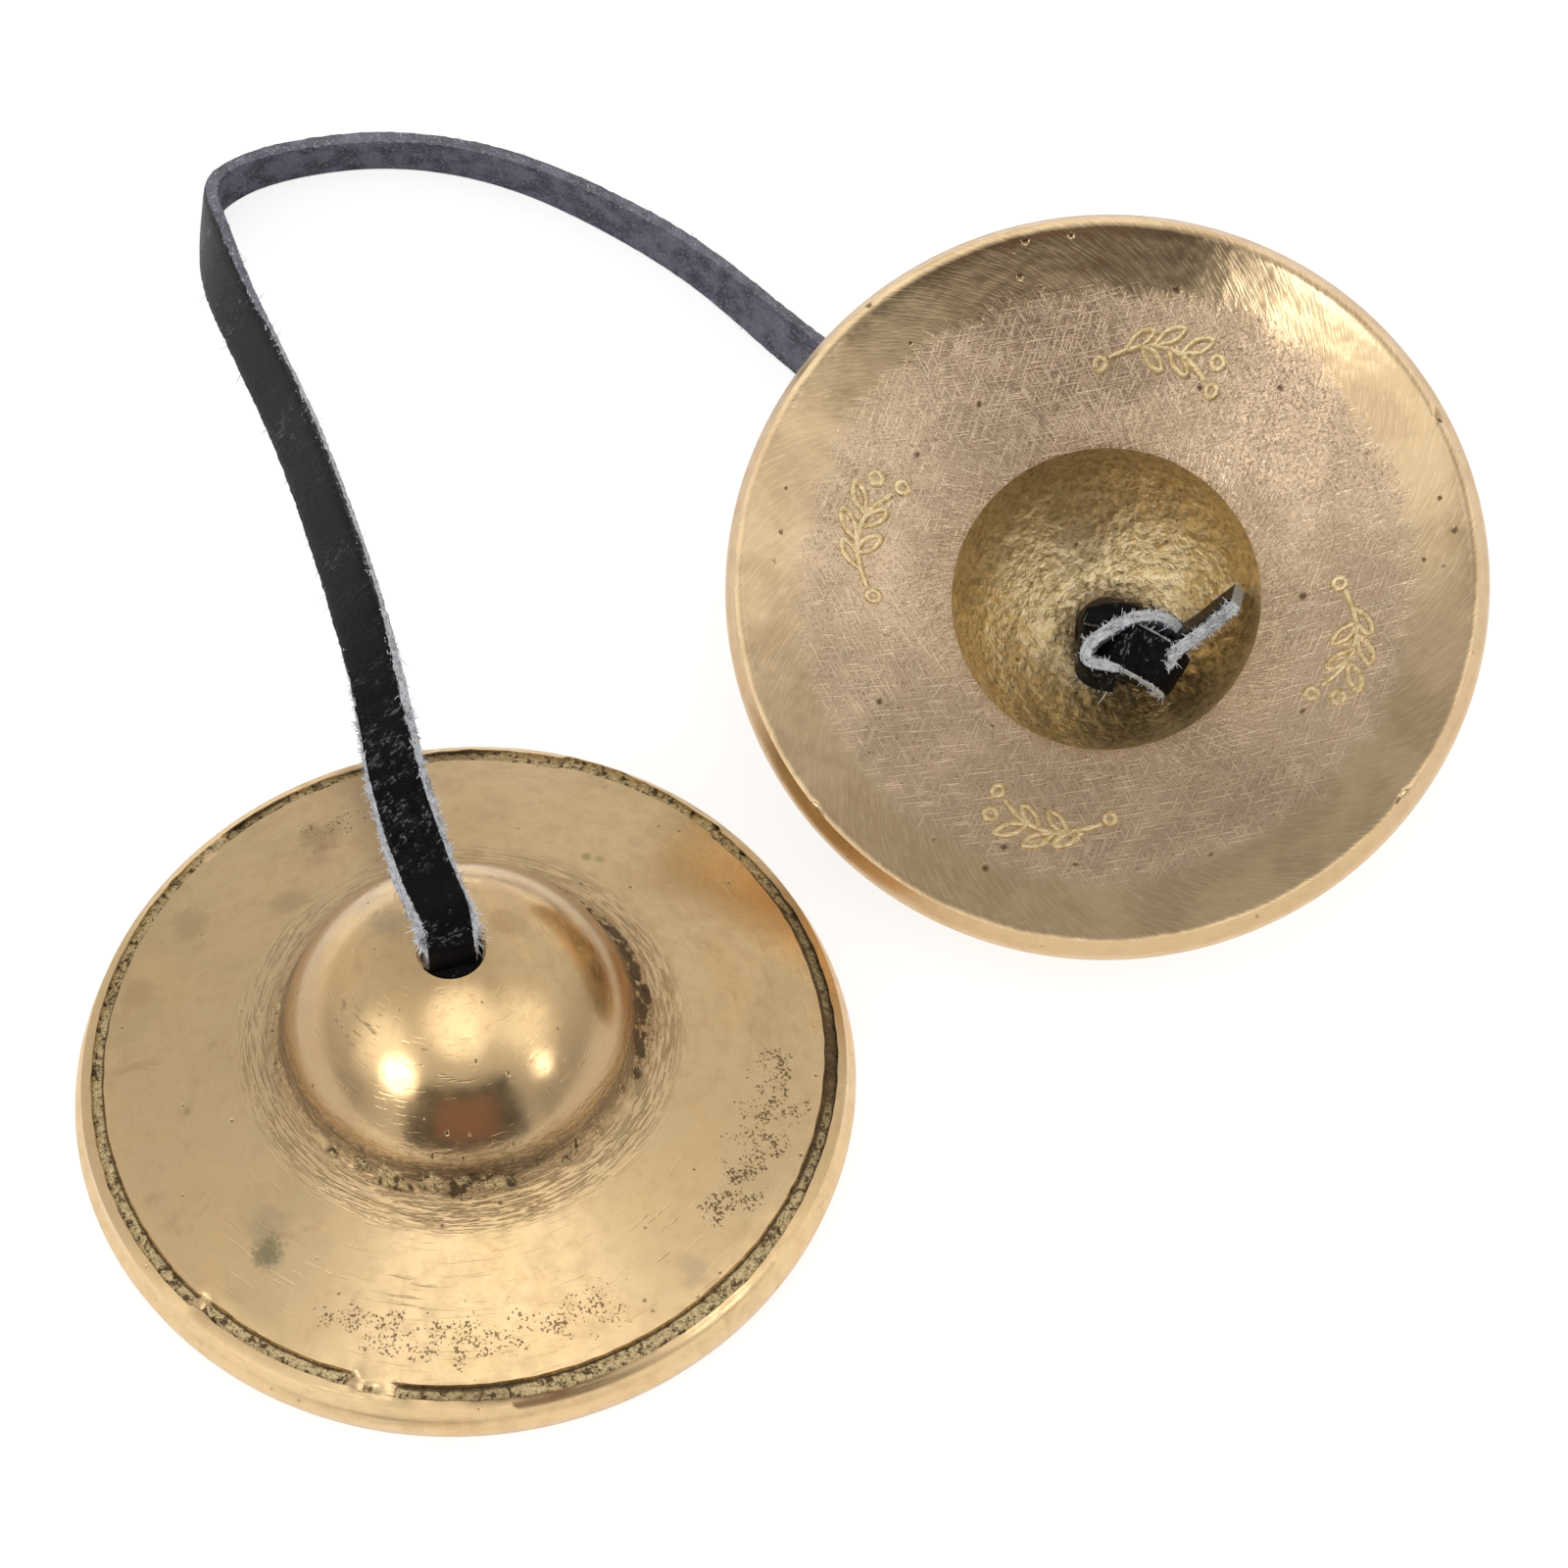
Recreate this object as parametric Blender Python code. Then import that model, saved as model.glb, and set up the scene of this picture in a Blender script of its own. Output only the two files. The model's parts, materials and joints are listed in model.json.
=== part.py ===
# Tingsha: two small cast cymbals joined by one flat leather strap that is knotted inside each crown.
# Metres, +Z up, floor at z = 0. The left cymbal lies on its striking face, and the right one stands on
# its crown with its mouth up, tilted to the front. The origin is under the middle of the two.

import bpy
import bmesh
import math
import numpy as np
from mathutils import Matrix, Vector

# Cymbal: radii from its axis, heights from its striking face up to the crown
CYMBAL_RADIUS = 0.0325
WIDEST_HEIGHT = 0.0029
RIM_HEIGHT = 0.0057
EDGE_ROUNDING = 0.0017
LAND_INSET = 0.0011
LAND_WIDTH = 0.0005
BEVEL_WIDTH = 0.0035
BEVEL_RISE = 0.0018
GROOVE_INSET = 0.0016
GROOVE_WIDTH = 0.0011
GROOVE_DEPTH = 0.0005
CROWN_RADIUS = 0.0149
CROWN_WALL = 0.0017
CREASE_ANGLE = math.radians(79.8)
CREASE_HEIGHT = 0.0113
CREASE_WIDTH = 0.0005
CREASE_DEPTH = 0.0003
MOUTH_WALL = 0.0026
MOUTH_LIP = 0.0005
HOLE_RADIUS = 0.0025
TURNING_STEPS = 60
CROWN_STEPS = 11
EDGE_STEPS = 3
SHARP_ANGLE = math.radians(35.0)

# Where the right cymbal stands, seen from above, and how it leans
RIGHT_BEARING = math.radians(34.9)
RIGHT_DISTANCE = 2.0 * CYMBAL_RADIUS
RIGHT_TILT = math.radians(23.7)
RIGHT_HEADING = math.radians(-102.8)

# Strap, and the clearances that it keeps
STRAP_WIDTH = 0.0052
STRAP_THICKNESS = 0.0013
STRAP_PITCH = 0.003
STRAP_LIFT = 0.00005
CUPPING = 0.0003
HOLE_CLEARANCE = 0.00035
END_GAP = 0.0003
PIVOT_RISE = 0.00036
CUPPED_RUN = 0.0014
WIDENING_RUN = 0.0028
END_LEAD = 0.002
END_ANGLES = (math.radians(72.0), math.radians(48.0), math.radians(24.0))
LEFT_AXIS_BEARING = math.radians(12.0)
LEFT_RISE = math.radians(62.0)

# Knots: overhand knots drawn up under the crowns
KNOT_LENGTH = 0.0104
KNOT_WIDTH = 0.0076
KNOT_HEIGHT = 0.0058
KNOT_ROUNDING = 0.0021
KNOT_ROUNDING_STEPS = 3
KNOT_ROUNDING_SHARE = 0.45
KNOT_TURN = math.radians(-24.0)
KNOT_OFFSET = Vector((0.0015, 0.0018, 0.0))
KNOT_GAP = 0.0003
BAND_PROUD = 0.0005
BAND_TURN = math.radians(38.0)
TAIL_LENGTH = 0.0106
TAIL_TURN = math.radians(-16.0)
TAIL_DROP = math.radians(33.0)
TAIL_ROLL = math.radians(55.0)
TAIL_ROOT = 0.002

# The strap's route in millimetres from the foot of the left cymbal's axis, with its roll in degrees.
# A roll of 0 lies flat with the grain up, 90 stands on edge, and 180 lies with the suede up.
ROUTE = (
    (-0.6, 2.2, 28.0, 0),
    (-2.4, 5.5, 31.1, 4),
    (-4.1, 9.8, 32.4, 10),
    (-5.3, 15.0, 32.2, 16),
    (-6.6, 21.1, 31.3, 22),
    (-8.3, 28.0, 29.4, 28),
    (-10.3, 35.5, 26.8, 33),
    (-12.6, 43.5, 23.9, 36),
    (-15.2, 52.1, 20.6, 38),
    (-18.2, 61.0, 17.0, 39),
    (-21.6, 70.5, 13.2, 41),
    (-25.0, 80.4, 9.2, 49),
    (-26.5, 85.8, 7.1, 59),
    (-27.6, 90.8, 5.1, 73),
    (-28.0, 94.6, 3.7, 82),
    (-27.3, 97.4, 2.9, 84),
    (-25.0, 99.5, 2.75, 82),
    (-20.5, 101.3, 2.75, 79),
    (-12.1, 102.5, 2.75, 78),
    (0.2, 100.0, 2.75, 82),
    (9.2, 95.1, 2.75, 88),
    (18.5, 88.0, 2.75, 95),
    (28.7, 77.4, 2.75, 104),
    (37.2, 70.2, 2.75, 115),
    (45.4, 64.4, 2.3, 136),
    (52.4, 59.0, 1.6, 160),
    (56.3, 53.2, 0.9, 177),
)

# Colours and finishes
BRASS = (0.66, 0.44, 0.18, 1.0)
BRASS_ROUGHNESS = 0.3
LEATHER = (0.012, 0.011, 0.013, 1.0)
LEATHER_ROUGHNESS = 0.45

# Sizes that follow from the ones above
CREASE_RADIUS = CROWN_RADIUS * math.sin(CREASE_ANGLE)
CROWN_CENTRE = CREASE_HEIGHT - CROWN_RADIUS * math.cos(CREASE_ANGLE)
INNER_RADIUS = CROWN_RADIUS - CROWN_WALL
APEX_HEIGHT = CROWN_CENTRE + CROWN_RADIUS
PIVOT_HEIGHT = APEX_HEIGHT + PIVOT_RISE
HALF_STRAP = STRAP_THICKNESS / 2.0
NECK_THICKNESS = STRAP_THICKNESS + CUPPING
NECK_WIDTH = 2.0 * math.sqrt((HOLE_RADIUS - HOLE_CLEARANCE) ** 2 - (NECK_THICKNESS / 2.0) ** 2)
NECK_TOP = PIVOT_HEIGHT - HALF_STRAP - END_GAP
TANGENT_STEP = STRAP_THICKNESS / 10.0


def clear_scene():
    for old in list(bpy.data.objects):
        bpy.data.objects.remove(old, do_unlink=True)


def new_material(name, colour, roughness, metallic):
    material = bpy.data.materials.new(name)
    material.use_nodes = True
    shader = material.node_tree.nodes["Principled BSDF"]
    shader.inputs["Base Color"].default_value = colour
    shader.inputs["Roughness"].default_value = roughness
    shader.inputs["Metallic"].default_value = metallic
    material.diffuse_color = colour
    return material


def finished_mesh(name, bm, material):
    bmesh.ops.recalc_face_normals(bm, faces=bm.faces)
    mesh = bpy.data.meshes.new(name)
    bm.to_mesh(mesh)
    bm.free()
    mesh.shade_smooth()
    mesh.set_sharp_from_angle(angle=SHARP_ANGLE)
    mesh.materials.append(material)
    return mesh


def new_object(name, mesh, parent):
    piece = bpy.data.objects.new(name, mesh)
    bpy.context.collection.objects.link(piece)
    piece.parent = parent
    return piece


def new_empty(name, matrix):
    empty = bpy.data.objects.new(name, None)
    empty.empty_display_size = CROWN_RADIUS
    bpy.context.collection.objects.link(empty)
    empty.matrix_world = matrix
    return empty


# Arc in the profile's plane, its angles counted from the cymbal's axis
def arc(radius, centre_height, start, stop, steps):
    points = []
    for step in range(steps + 1):
        angle = start + (stop - start) * step / steps
        points.append((radius * math.sin(angle), centre_height + radius * math.cos(angle)))
    return points


# Outside of the flange: a straight cone from the crease to the rounded rim
def flange_height(radius):
    rim = CYMBAL_RADIUS - EDGE_ROUNDING
    share = (radius - CREASE_RADIUS) / (rim - CREASE_RADIUS)
    return CREASE_HEIGHT + share * (RIM_HEIGHT - CREASE_HEIGHT)


def outer_profile():
    hole_angle = math.asin(HOLE_RADIUS / CROWN_RADIUS)
    points = arc(CROWN_RADIUS, CROWN_CENTRE, hole_angle, CREASE_ANGLE, CROWN_STEPS)
    foot = CREASE_RADIUS + CREASE_WIDTH / 2.0
    points.append((foot, flange_height(foot) - CREASE_DEPTH))
    outside = CREASE_RADIUS + CREASE_WIDTH
    points.append((outside, flange_height(outside)))
    groove_out = CYMBAL_RADIUS - GROOVE_INSET
    groove_in = groove_out - GROOVE_WIDTH
    quarter = GROOVE_WIDTH / 4.0
    points.append((groove_in, flange_height(groove_in)))
    points.append((groove_in + quarter, flange_height(groove_in + quarter) - GROOVE_DEPTH))
    points.append((groove_out - quarter, flange_height(groove_out - quarter) - GROOVE_DEPTH))
    points.append((groove_out, flange_height(groove_out)))
    return points


# Rounded edge, then the side wall that draws in to the land
def edge_profile():
    groove_out = CYMBAL_RADIUS - GROOVE_INSET
    top = flange_height(groove_out)
    points = []
    for step in range(1, EDGE_STEPS + 1):
        angle = math.pi / 2.0 * step / EDGE_STEPS
        radius = groove_out + GROOVE_INSET * math.sin(angle)
        height = WIDEST_HEIGHT + (top - WIDEST_HEIGHT) * math.cos(angle)
        points.append((radius, height))
    points.append((CYMBAL_RADIUS - LAND_INSET, 0.0))
    points.append((CYMBAL_RADIUS - LAND_INSET - LAND_WIDTH, 0.0))
    return points


# Inside: bevelled ring, dished face up to the crown's mouth, then the crown's own hollow
def inner_profile():
    bevel_top = CYMBAL_RADIUS - LAND_INSET - LAND_WIDTH - BEVEL_WIDTH
    mouth_height = CREASE_HEIGHT - MOUTH_WALL
    points = [(bevel_top, BEVEL_RISE)]
    points.append((INNER_RADIUS + MOUTH_LIP, mouth_height))
    start = math.acos((mouth_height + MOUTH_LIP - CROWN_CENTRE) / INNER_RADIUS)
    stop = math.asin(HOLE_RADIUS / INNER_RADIUS)
    points.extend(arc(INNER_RADIUS, CROWN_CENTRE, start, stop, CROWN_STEPS))
    return points


def cymbal_mesh(material):
    bm = bmesh.new()
    profile = outer_profile() + edge_profile() + inner_profile()
    corners = [bm.verts.new((radius, 0.0, height)) for radius, height in profile]
    outline = [bm.edges.new((corners[i - 1], corners[i])) for i in range(len(corners))]
    bmesh.ops.spin(
        bm,
        geom=corners + outline,
        cent=(0.0, 0.0, 0.0),
        axis=(0.0, 0.0, 1.0),
        dvec=(0.0, 0.0, 0.0),
        angle=2.0 * math.pi,
        steps=TURNING_STEPS,
        use_merge=True,
    )
    return finished_mesh("cymbal", bm, material)


# Band through stations of (centre, width direction, face direction, width, thickness), capped flat
def add_band(bm, stations):
    rings = []
    for centre, across, face, width, thickness in stations:
        side = across * (width / 2.0)
        lift = face * (thickness / 2.0)
        corners = (centre + side + lift, centre - side + lift, centre - side - lift, centre + side - lift)
        rings.append([bm.verts.new(corner) for corner in corners])
    for near, far in zip(rings, rings[1:]):
        for i in range(4):
            bm.faces.new((near[i - 1], near[i], far[i], far[i - 1]))
    bm.faces.new(rings[0])
    bm.faces.new(reversed(rings[-1]))


# Smooth curve through values at given distances, with no bending at its two ends
def smooth_curve(distances, values):
    count = len(distances)
    gaps = np.diff(distances)
    slopes = np.diff(values, axis=0) / gaps[:, None]
    system = np.eye(count)
    right = np.zeros((count, values.shape[1]))
    for i in range(1, count - 1):
        system[i, i - 1] = gaps[i - 1]
        system[i, i] = 2.0 * (gaps[i - 1] + gaps[i])
        system[i, i + 1] = gaps[i]
        right[i] = 6.0 * (slopes[i] - slopes[i - 1])
    bends = np.linalg.solve(system, right)

    def curve(at):
        i = int(np.clip(np.searchsorted(distances, at) - 1, 0, count - 2))
        before = (distances[i + 1] - at) / gaps[i]
        after = (at - distances[i]) / gaps[i]
        spread = gaps[i] ** 2 / 6.0
        straight = before * values[i] + after * values[i + 1]
        return straight + spread * ((before ** 3 - before) * bends[i] + (after ** 3 - after) * bends[i + 1])

    return curve


# Each end of the strap: its pivot just outside the hole, the swing's axis, and the way the strap leaves
def left_end():
    pivot = Vector((0.0, 0.0, PIVOT_HEIGHT))
    across = Vector((math.cos(LEFT_AXIS_BEARING), math.sin(LEFT_AXIS_BEARING), 0.0))
    level = Vector((-across.y, across.x, 0.0))
    out = level * math.cos(LEFT_RISE) + Vector((0.0, 0.0, math.sin(LEFT_RISE)))
    return pivot, across, out


def right_end(right_matrix):
    pivot = right_matrix @ Vector((0.0, 0.0, PIVOT_HEIGHT))
    crownward = right_matrix.to_3x3() @ Vector((0.0, 0.0, 1.0))
    out = Vector((crownward.x, crownward.y, 0.0)).normalized()
    across = Vector((out.y, -out.x, 0.0))
    return pivot, across, out


# Width that the strap has at a distance from the nearer hole
def strap_width(distance):
    share = (distance - CUPPED_RUN) / WIDENING_RUN
    share = min(max(share, 0.0), 1.0)
    return NECK_WIDTH + (STRAP_WIDTH - NECK_WIDTH) * share * share * (3.0 - 2.0 * share)


def strap_stations(right_matrix):
    left, left_across, left_out = left_end()
    right, right_across, right_out = right_end(right_matrix)
    points = [(*left, 0.0), (*(left + left_out * END_LEAD), 0.0)]
    points += [(x / 1000.0, y / 1000.0, z / 1000.0, math.radians(roll)) for x, y, z, roll in ROUTE]
    points += [(*(right + right_out * END_LEAD), math.pi), (*right, math.pi)]
    values = np.array(points)
    gaps = np.linalg.norm(np.diff(values[:, :3], axis=0), axis=1)
    distances = np.concatenate(([0.0], np.cumsum(gaps)))
    curve = smooth_curve(distances, values)
    length = distances[-1]
    count = round(length / STRAP_PITCH)
    places = [0.0, CUPPED_RUN / 2.0, CUPPED_RUN]
    places += [length * i / count for i in range(1, count)]
    places += [length - CUPPED_RUN, length - CUPPED_RUN / 2.0, length]
    stations = []
    for at in places:
        value = curve(at)
        before = Vector(curve(max(at - TANGENT_STEP, 0.0))[:3])
        after = Vector(curve(min(at + TANGENT_STEP, length))[:3])
        ahead = (after - before).normalized()
        side = ahead.cross(Vector((0.0, 0.0, 1.0))).normalized()
        above = side.cross(ahead)
        across = side * math.cos(value[3]) + above * math.sin(value[3])
        near_left = 1.0 - min(at / (CUPPED_RUN + WIDENING_RUN), 1.0)
        near_right = 1.0 - min((length - at) / (CUPPED_RUN + WIDENING_RUN), 1.0)
        across = across.lerp(left_across, near_left).lerp(right_across, near_right)
        across = (across - ahead * across.dot(ahead)).normalized()
        face = across.cross(ahead)
        width = strap_width(min(at, length - at))
        reach = abs(across.z) * width / 2.0 + abs(face.z) * HALF_STRAP
        centre = Vector(value[:3])
        centre.z = max(centre.z, reach + STRAP_LIFT)
        stations.append((centre, across, face, width, STRAP_THICKNESS))
    return stations


# Half-round ends about the pivots, so that the strap can swing on the knots' necks
def rounded_end(station, outward):
    centre, across, face, width, thickness = station
    rings = []
    for angle in END_ANGLES:
        place = centre + outward * (HALF_STRAP * math.sin(angle))
        rings.append((place, across, face, width, thickness * math.cos(angle)))
    return rings


def build_strap(name, material, parent, right_matrix):
    stations = strap_stations(right_matrix)
    first = stations[0]
    last = stations[-1]
    out_first = first[1].cross(first[2])
    out_last = -last[1].cross(last[2])
    start = rounded_end(first, out_first)
    stop = rounded_end(last, out_last)
    bm = bmesh.new()
    add_band(bm, start + stations + stop[::-1])
    return new_object(name, finished_mesh(name, bm, material), parent)


def rounded_block(bm, size, turn, place):
    made = bmesh.ops.create_cube(bm, size=1.0)
    corners = made["verts"]
    bmesh.ops.scale(bm, vec=size, verts=corners)
    edges = list({edge for corner in corners for edge in corner.link_edges})
    bmesh.ops.bevel(
        bm,
        geom=edges,
        offset=min(KNOT_ROUNDING, KNOT_ROUNDING_SHARE * min(size)),
        segments=KNOT_ROUNDING_STEPS,
        profile=0.5,
        affect="EDGES",
        material=-1,
    )
    matrix = Matrix.Translation(place) @ Matrix.Rotation(turn, 4, "Z")
    bmesh.ops.transform(bm, matrix=matrix, verts=bm.verts)


# Height at which the knot's highest places come up to the crown's hollow, short of it by the gap
def knot_seat(bm):
    reach = INNER_RADIUS - KNOT_GAP
    heights = []
    for corner in bm.verts:
        span = math.hypot(corner.co.x, corner.co.y)
        heights.append(CROWN_CENTRE + math.sqrt(reach ** 2 - span ** 2) - corner.co.z)
    return min(heights)


def unite(target, others):
    for other in others:
        other.hide_render = True
        other.display_type = "WIRE"
        union = target.modifiers.new(other.name, "BOOLEAN")
        union.operation = "UNION"
        union.solver = "EXACT"
        union.object = other


# Neck that fills the hole's width and stops short of the strap's rounded end
def neck_band(seat, bearing):
    bm = bmesh.new()
    across = Vector((math.cos(bearing), math.sin(bearing), 0.0))
    face = Vector((-across.y, across.x, 0.0))
    ends = (Vector((0.0, 0.0, seat)), Vector((0.0, 0.0, NECK_TOP)))
    add_band(bm, [(end, across, face, NECK_WIDTH, NECK_THICKNESS) for end in ends])
    return bm


# Free tail that leaves the bundle sideways, on edge, and drops towards the mouth
def tail_band(seat):
    bm = bmesh.new()
    level = Vector((math.cos(TAIL_TURN), math.sin(TAIL_TURN), 0.0))
    along = level * math.cos(TAIL_DROP) - Vector((0.0, 0.0, math.sin(TAIL_DROP)))
    across = Matrix.Rotation(TAIL_ROLL, 3, along) @ Vector((-level.y, level.x, 0.0))
    face = along.cross(across)
    middle = KNOT_OFFSET + Vector((0.0, 0.0, seat))
    ends = (middle + along * TAIL_ROOT, middle + along * TAIL_LENGTH)
    add_band(bm, [(end, across, face, STRAP_WIDTH, STRAP_THICKNESS) for end in ends])
    return bm


# Knot: a rounded bundle crossed by one turn of the band, with a neck up the hole and a short free tail
def build_knot(name, material, parent, neck_bearing):
    bundle = bmesh.new()
    rounded_block(bundle, Vector((KNOT_LENGTH, KNOT_WIDTH, KNOT_HEIGHT)), KNOT_TURN, KNOT_OFFSET)
    turn = bmesh.new()
    over = Vector((STRAP_WIDTH, KNOT_WIDTH + 2.0 * BAND_PROUD, KNOT_HEIGHT + 2.0 * BAND_PROUD))
    rounded_block(turn, over, KNOT_TURN + BAND_TURN, KNOT_OFFSET)
    seat = min(knot_seat(bundle), knot_seat(turn))
    for bm in (bundle, turn):
        bmesh.ops.translate(bm, vec=(0.0, 0.0, seat), verts=bm.verts)
    shapes = (("turn", turn), ("neck", neck_band(seat, neck_bearing)), ("tail", tail_band(seat)))
    knot = new_object(name, finished_mesh(name, bundle, material), parent)
    others = []
    for word, bm in shapes:
        others.append(new_object(f"{name}_{word}", finished_mesh(word, bm, material), parent))
    unite(knot, others)


# The right cymbal is turned crown down, leant over, and let down until it touches the floor
def right_placement(mesh):
    lean_axis = Vector((-math.sin(RIGHT_HEADING), math.cos(RIGHT_HEADING), 0.0))
    turn = Matrix.Rotation(RIGHT_TILT, 4, lean_axis) @ Matrix.Rotation(math.pi, 4, "X")
    lowest = min((turn @ corner.co).z for corner in mesh.vertices)
    place = Vector((math.cos(RIGHT_BEARING), math.sin(RIGHT_BEARING), 0.0)) * RIGHT_DISTANCE
    place.z = -lowest
    return Matrix.Translation(place) @ turn


# Middle of the two cymbals' box on the floor
def footprint_middle(mesh, placements):
    corners = [placement @ corner.co for placement in placements for corner in mesh.vertices]
    spans = [[corner[i] for corner in corners] for i in range(2)]
    return Vector([(min(span) + max(span)) / 2.0 for span in spans] + [0.0])


def main():
    clear_scene()
    brass = new_material("cast_brass", BRASS, BRASS_ROUGHNESS, 1.0)
    leather = new_material("black_leather", LEATHER, LEATHER_ROUGHNESS, 0.0)

    mesh = cymbal_mesh(brass)
    placement = right_placement(mesh)
    home = Matrix.Translation(-footprint_middle(mesh, (Matrix.Identity(4), placement)))
    left_axis = new_empty("left_axis", home)
    right_axis = new_empty("right_axis", home @ placement)
    new_object("cymbal_left", mesh, left_axis)
    new_object("cymbal_right", mesh, right_axis)

    left_pivot, left_across = left_end()[:2]
    right_pivot, right_across = right_end(placement)[:2]
    swing = new_empty("left_pivot", home @ Matrix.Translation(left_pivot))
    strap = build_strap("strap", leather, swing, placement)
    strap.location = -left_pivot

    build_knot("knot_left", leather, left_axis, LEFT_AXIS_BEARING)
    local_across = placement.to_3x3().inverted() @ right_across
    build_knot("knot_right", leather, right_axis, math.atan2(local_across.y, local_across.x))

    places = {
        "left axis": home.translation,
        "left pivot": home @ left_pivot,
        "left swing axis": left_across,
        "right rim centre": (home @ placement).translation,
        "right axis": placement.to_3x3() @ Vector((0.0, 0.0, 1.0)),
        "right pivot": home @ right_pivot,
        "right swing axis": right_across,
    }
    for words, place in places.items():
        print(words, [round(value, 5) for value in place])


main()
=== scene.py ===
# %% [markdown]
# # Two small hand cymbals on a leather strap
# Each cymbal is cast in brass and then turned and polished: a dome in the middle, a straight
# sloping flange, a groove, and a thick rim. A flat black strap goes through a hole in each dome and
# is knotted inside it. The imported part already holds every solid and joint. This lesson dresses it:
# it rebuilds each surface in finer detail, at the same place and size, and gives it its finish.

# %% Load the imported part
import json
import math
import bpy
import bmesh
import numpy as np
from mathutils import Matrix, Vector, noise


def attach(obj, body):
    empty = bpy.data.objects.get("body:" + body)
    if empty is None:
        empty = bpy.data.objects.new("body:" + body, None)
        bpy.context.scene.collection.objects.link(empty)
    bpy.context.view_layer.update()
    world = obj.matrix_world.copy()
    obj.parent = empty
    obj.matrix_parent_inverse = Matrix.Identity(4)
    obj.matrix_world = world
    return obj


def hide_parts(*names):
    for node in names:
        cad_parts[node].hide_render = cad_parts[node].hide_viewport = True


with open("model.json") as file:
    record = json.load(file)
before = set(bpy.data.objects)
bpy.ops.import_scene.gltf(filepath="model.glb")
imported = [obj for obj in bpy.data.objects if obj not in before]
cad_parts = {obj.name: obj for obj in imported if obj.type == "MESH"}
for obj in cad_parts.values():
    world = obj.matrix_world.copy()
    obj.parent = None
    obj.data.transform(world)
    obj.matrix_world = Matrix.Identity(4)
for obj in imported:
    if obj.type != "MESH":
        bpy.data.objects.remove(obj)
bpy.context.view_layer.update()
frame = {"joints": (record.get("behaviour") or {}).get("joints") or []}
joints = {joint["name"]: joint for joint in frame["joints"]}
MM = 0.001

# %% [markdown]
# ## The camera
# It looks down at the pair from the front, at about 56 degrees above the table, through a long
# lens. A long lens keeps both rims close to true ellipses. The camera is aimed by its own
# distance and height, so that no tracking constraint is needed.

# %% Camera
VIEW_TARGET = Vector((-0.0003, 0.0132, 0.0))
VIEW_DISTANCE = 0.390
VIEW_HEIGHT = math.radians(56.34)
LENS = 102.26

# Puts new data into the scene as an object at the origin
def add_object(name, data):
    made = bpy.data.objects.new(name, data)
    bpy.context.scene.collection.objects.link(made)
    return made


camera_data = bpy.data.cameras.new("camera")
camera_data.lens = LENS
camera_data.sensor_width = 36.0
camera_data.clip_start = 0.01
camera = add_object("camera", camera_data)
view_way = Vector((0.0, -math.cos(VIEW_HEIGHT), math.sin(VIEW_HEIGHT)))
camera.location = VIEW_TARGET + VIEW_DISTANCE * view_way
camera.rotation_euler = (math.pi / 2.0 - VIEW_HEIGHT, 0.0, 0.0)
bpy.context.scene.camera = camera
print("camera height", round(camera.location.z, 3))

# %% [markdown]
# ## The strap's line
# The strap is one flat lace of leather. It leaves the left dome upwards, arches away from the
# viewer, turns on its edge at the far end and comes back to the right cymbal with its suede side to
# the viewer. A few listed points give its middle line in millimetres, counted from the foot
# of the left cymbal's axis, and the last number of each is its roll: 0 lies flat with the grain up,
# 90 stands on edge. A smooth curve runs through them all, from one swing axis to the other.

# %% Route of the strap
ROUTE = (
    (-1.1, 2.2, 28.0, 0),
    (-2.7, 5.5, 31.1, 4),
    (-4.1, 9.8, 32.4, 10),
    (-5.3, 15.0, 32.2, 16),
    (-6.6, 21.1, 31.3, 22),
    (-8.3, 28.0, 29.4, 28),
    (-10.3, 35.5, 26.8, 33),
    (-12.6, 43.5, 23.9, 36),
    (-15.2, 52.1, 20.6, 38),
    (-18.2, 61.0, 17.0, 39),
    (-21.6, 70.5, 13.2, 41),
    (-25.0, 80.4, 9.2, 49),
    (-26.5, 85.8, 7.1, 59),
    (-27.6, 90.8, 5.1, 73),
    (-28.0, 94.6, 3.7, 82),
    (-27.3, 97.4, 2.9, 84),
    (-25.0, 99.5, 2.75, 82),
    (-20.5, 101.3, 2.75, 79),
    (-12.1, 102.5, 2.75, 78),
    (0.2, 100.0, 2.75, 82),
    (9.2, 95.1, 2.75, 88),
    (18.5, 88.0, 2.75, 95),
    (28.7, 77.4, 2.75, 104),
    (37.2, 70.2, 2.75, 115),
    (45.4, 64.4, 2.3, 136),
    (52.4, 59.0, 1.6, 160),
    (56.3, 53.2, 0.9, 177),
)
STRAP_WIDTH = 5.2 * MM
STRAP_THICKNESS = 1.3 * MM
NECK_WIDTH = 4.0 * MM
CUPPED_RUN = 1.4 * MM
WIDENING_RUN = 2.8 * MM
END_LEAD = 2.0 * MM
LEFT_RISE = math.radians(62.0)
LINE_STEP = 0.25 * MM

# %% [markdown]
# The curve is a natural cubic spline: it bends as little as a springy lace would. Every quarter of
# a millimetre along it, a table keeps the place, the direction across the strap and the direction
# that the grain side faces. Anything cut flat can then be bent along the line by looking it up.

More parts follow.
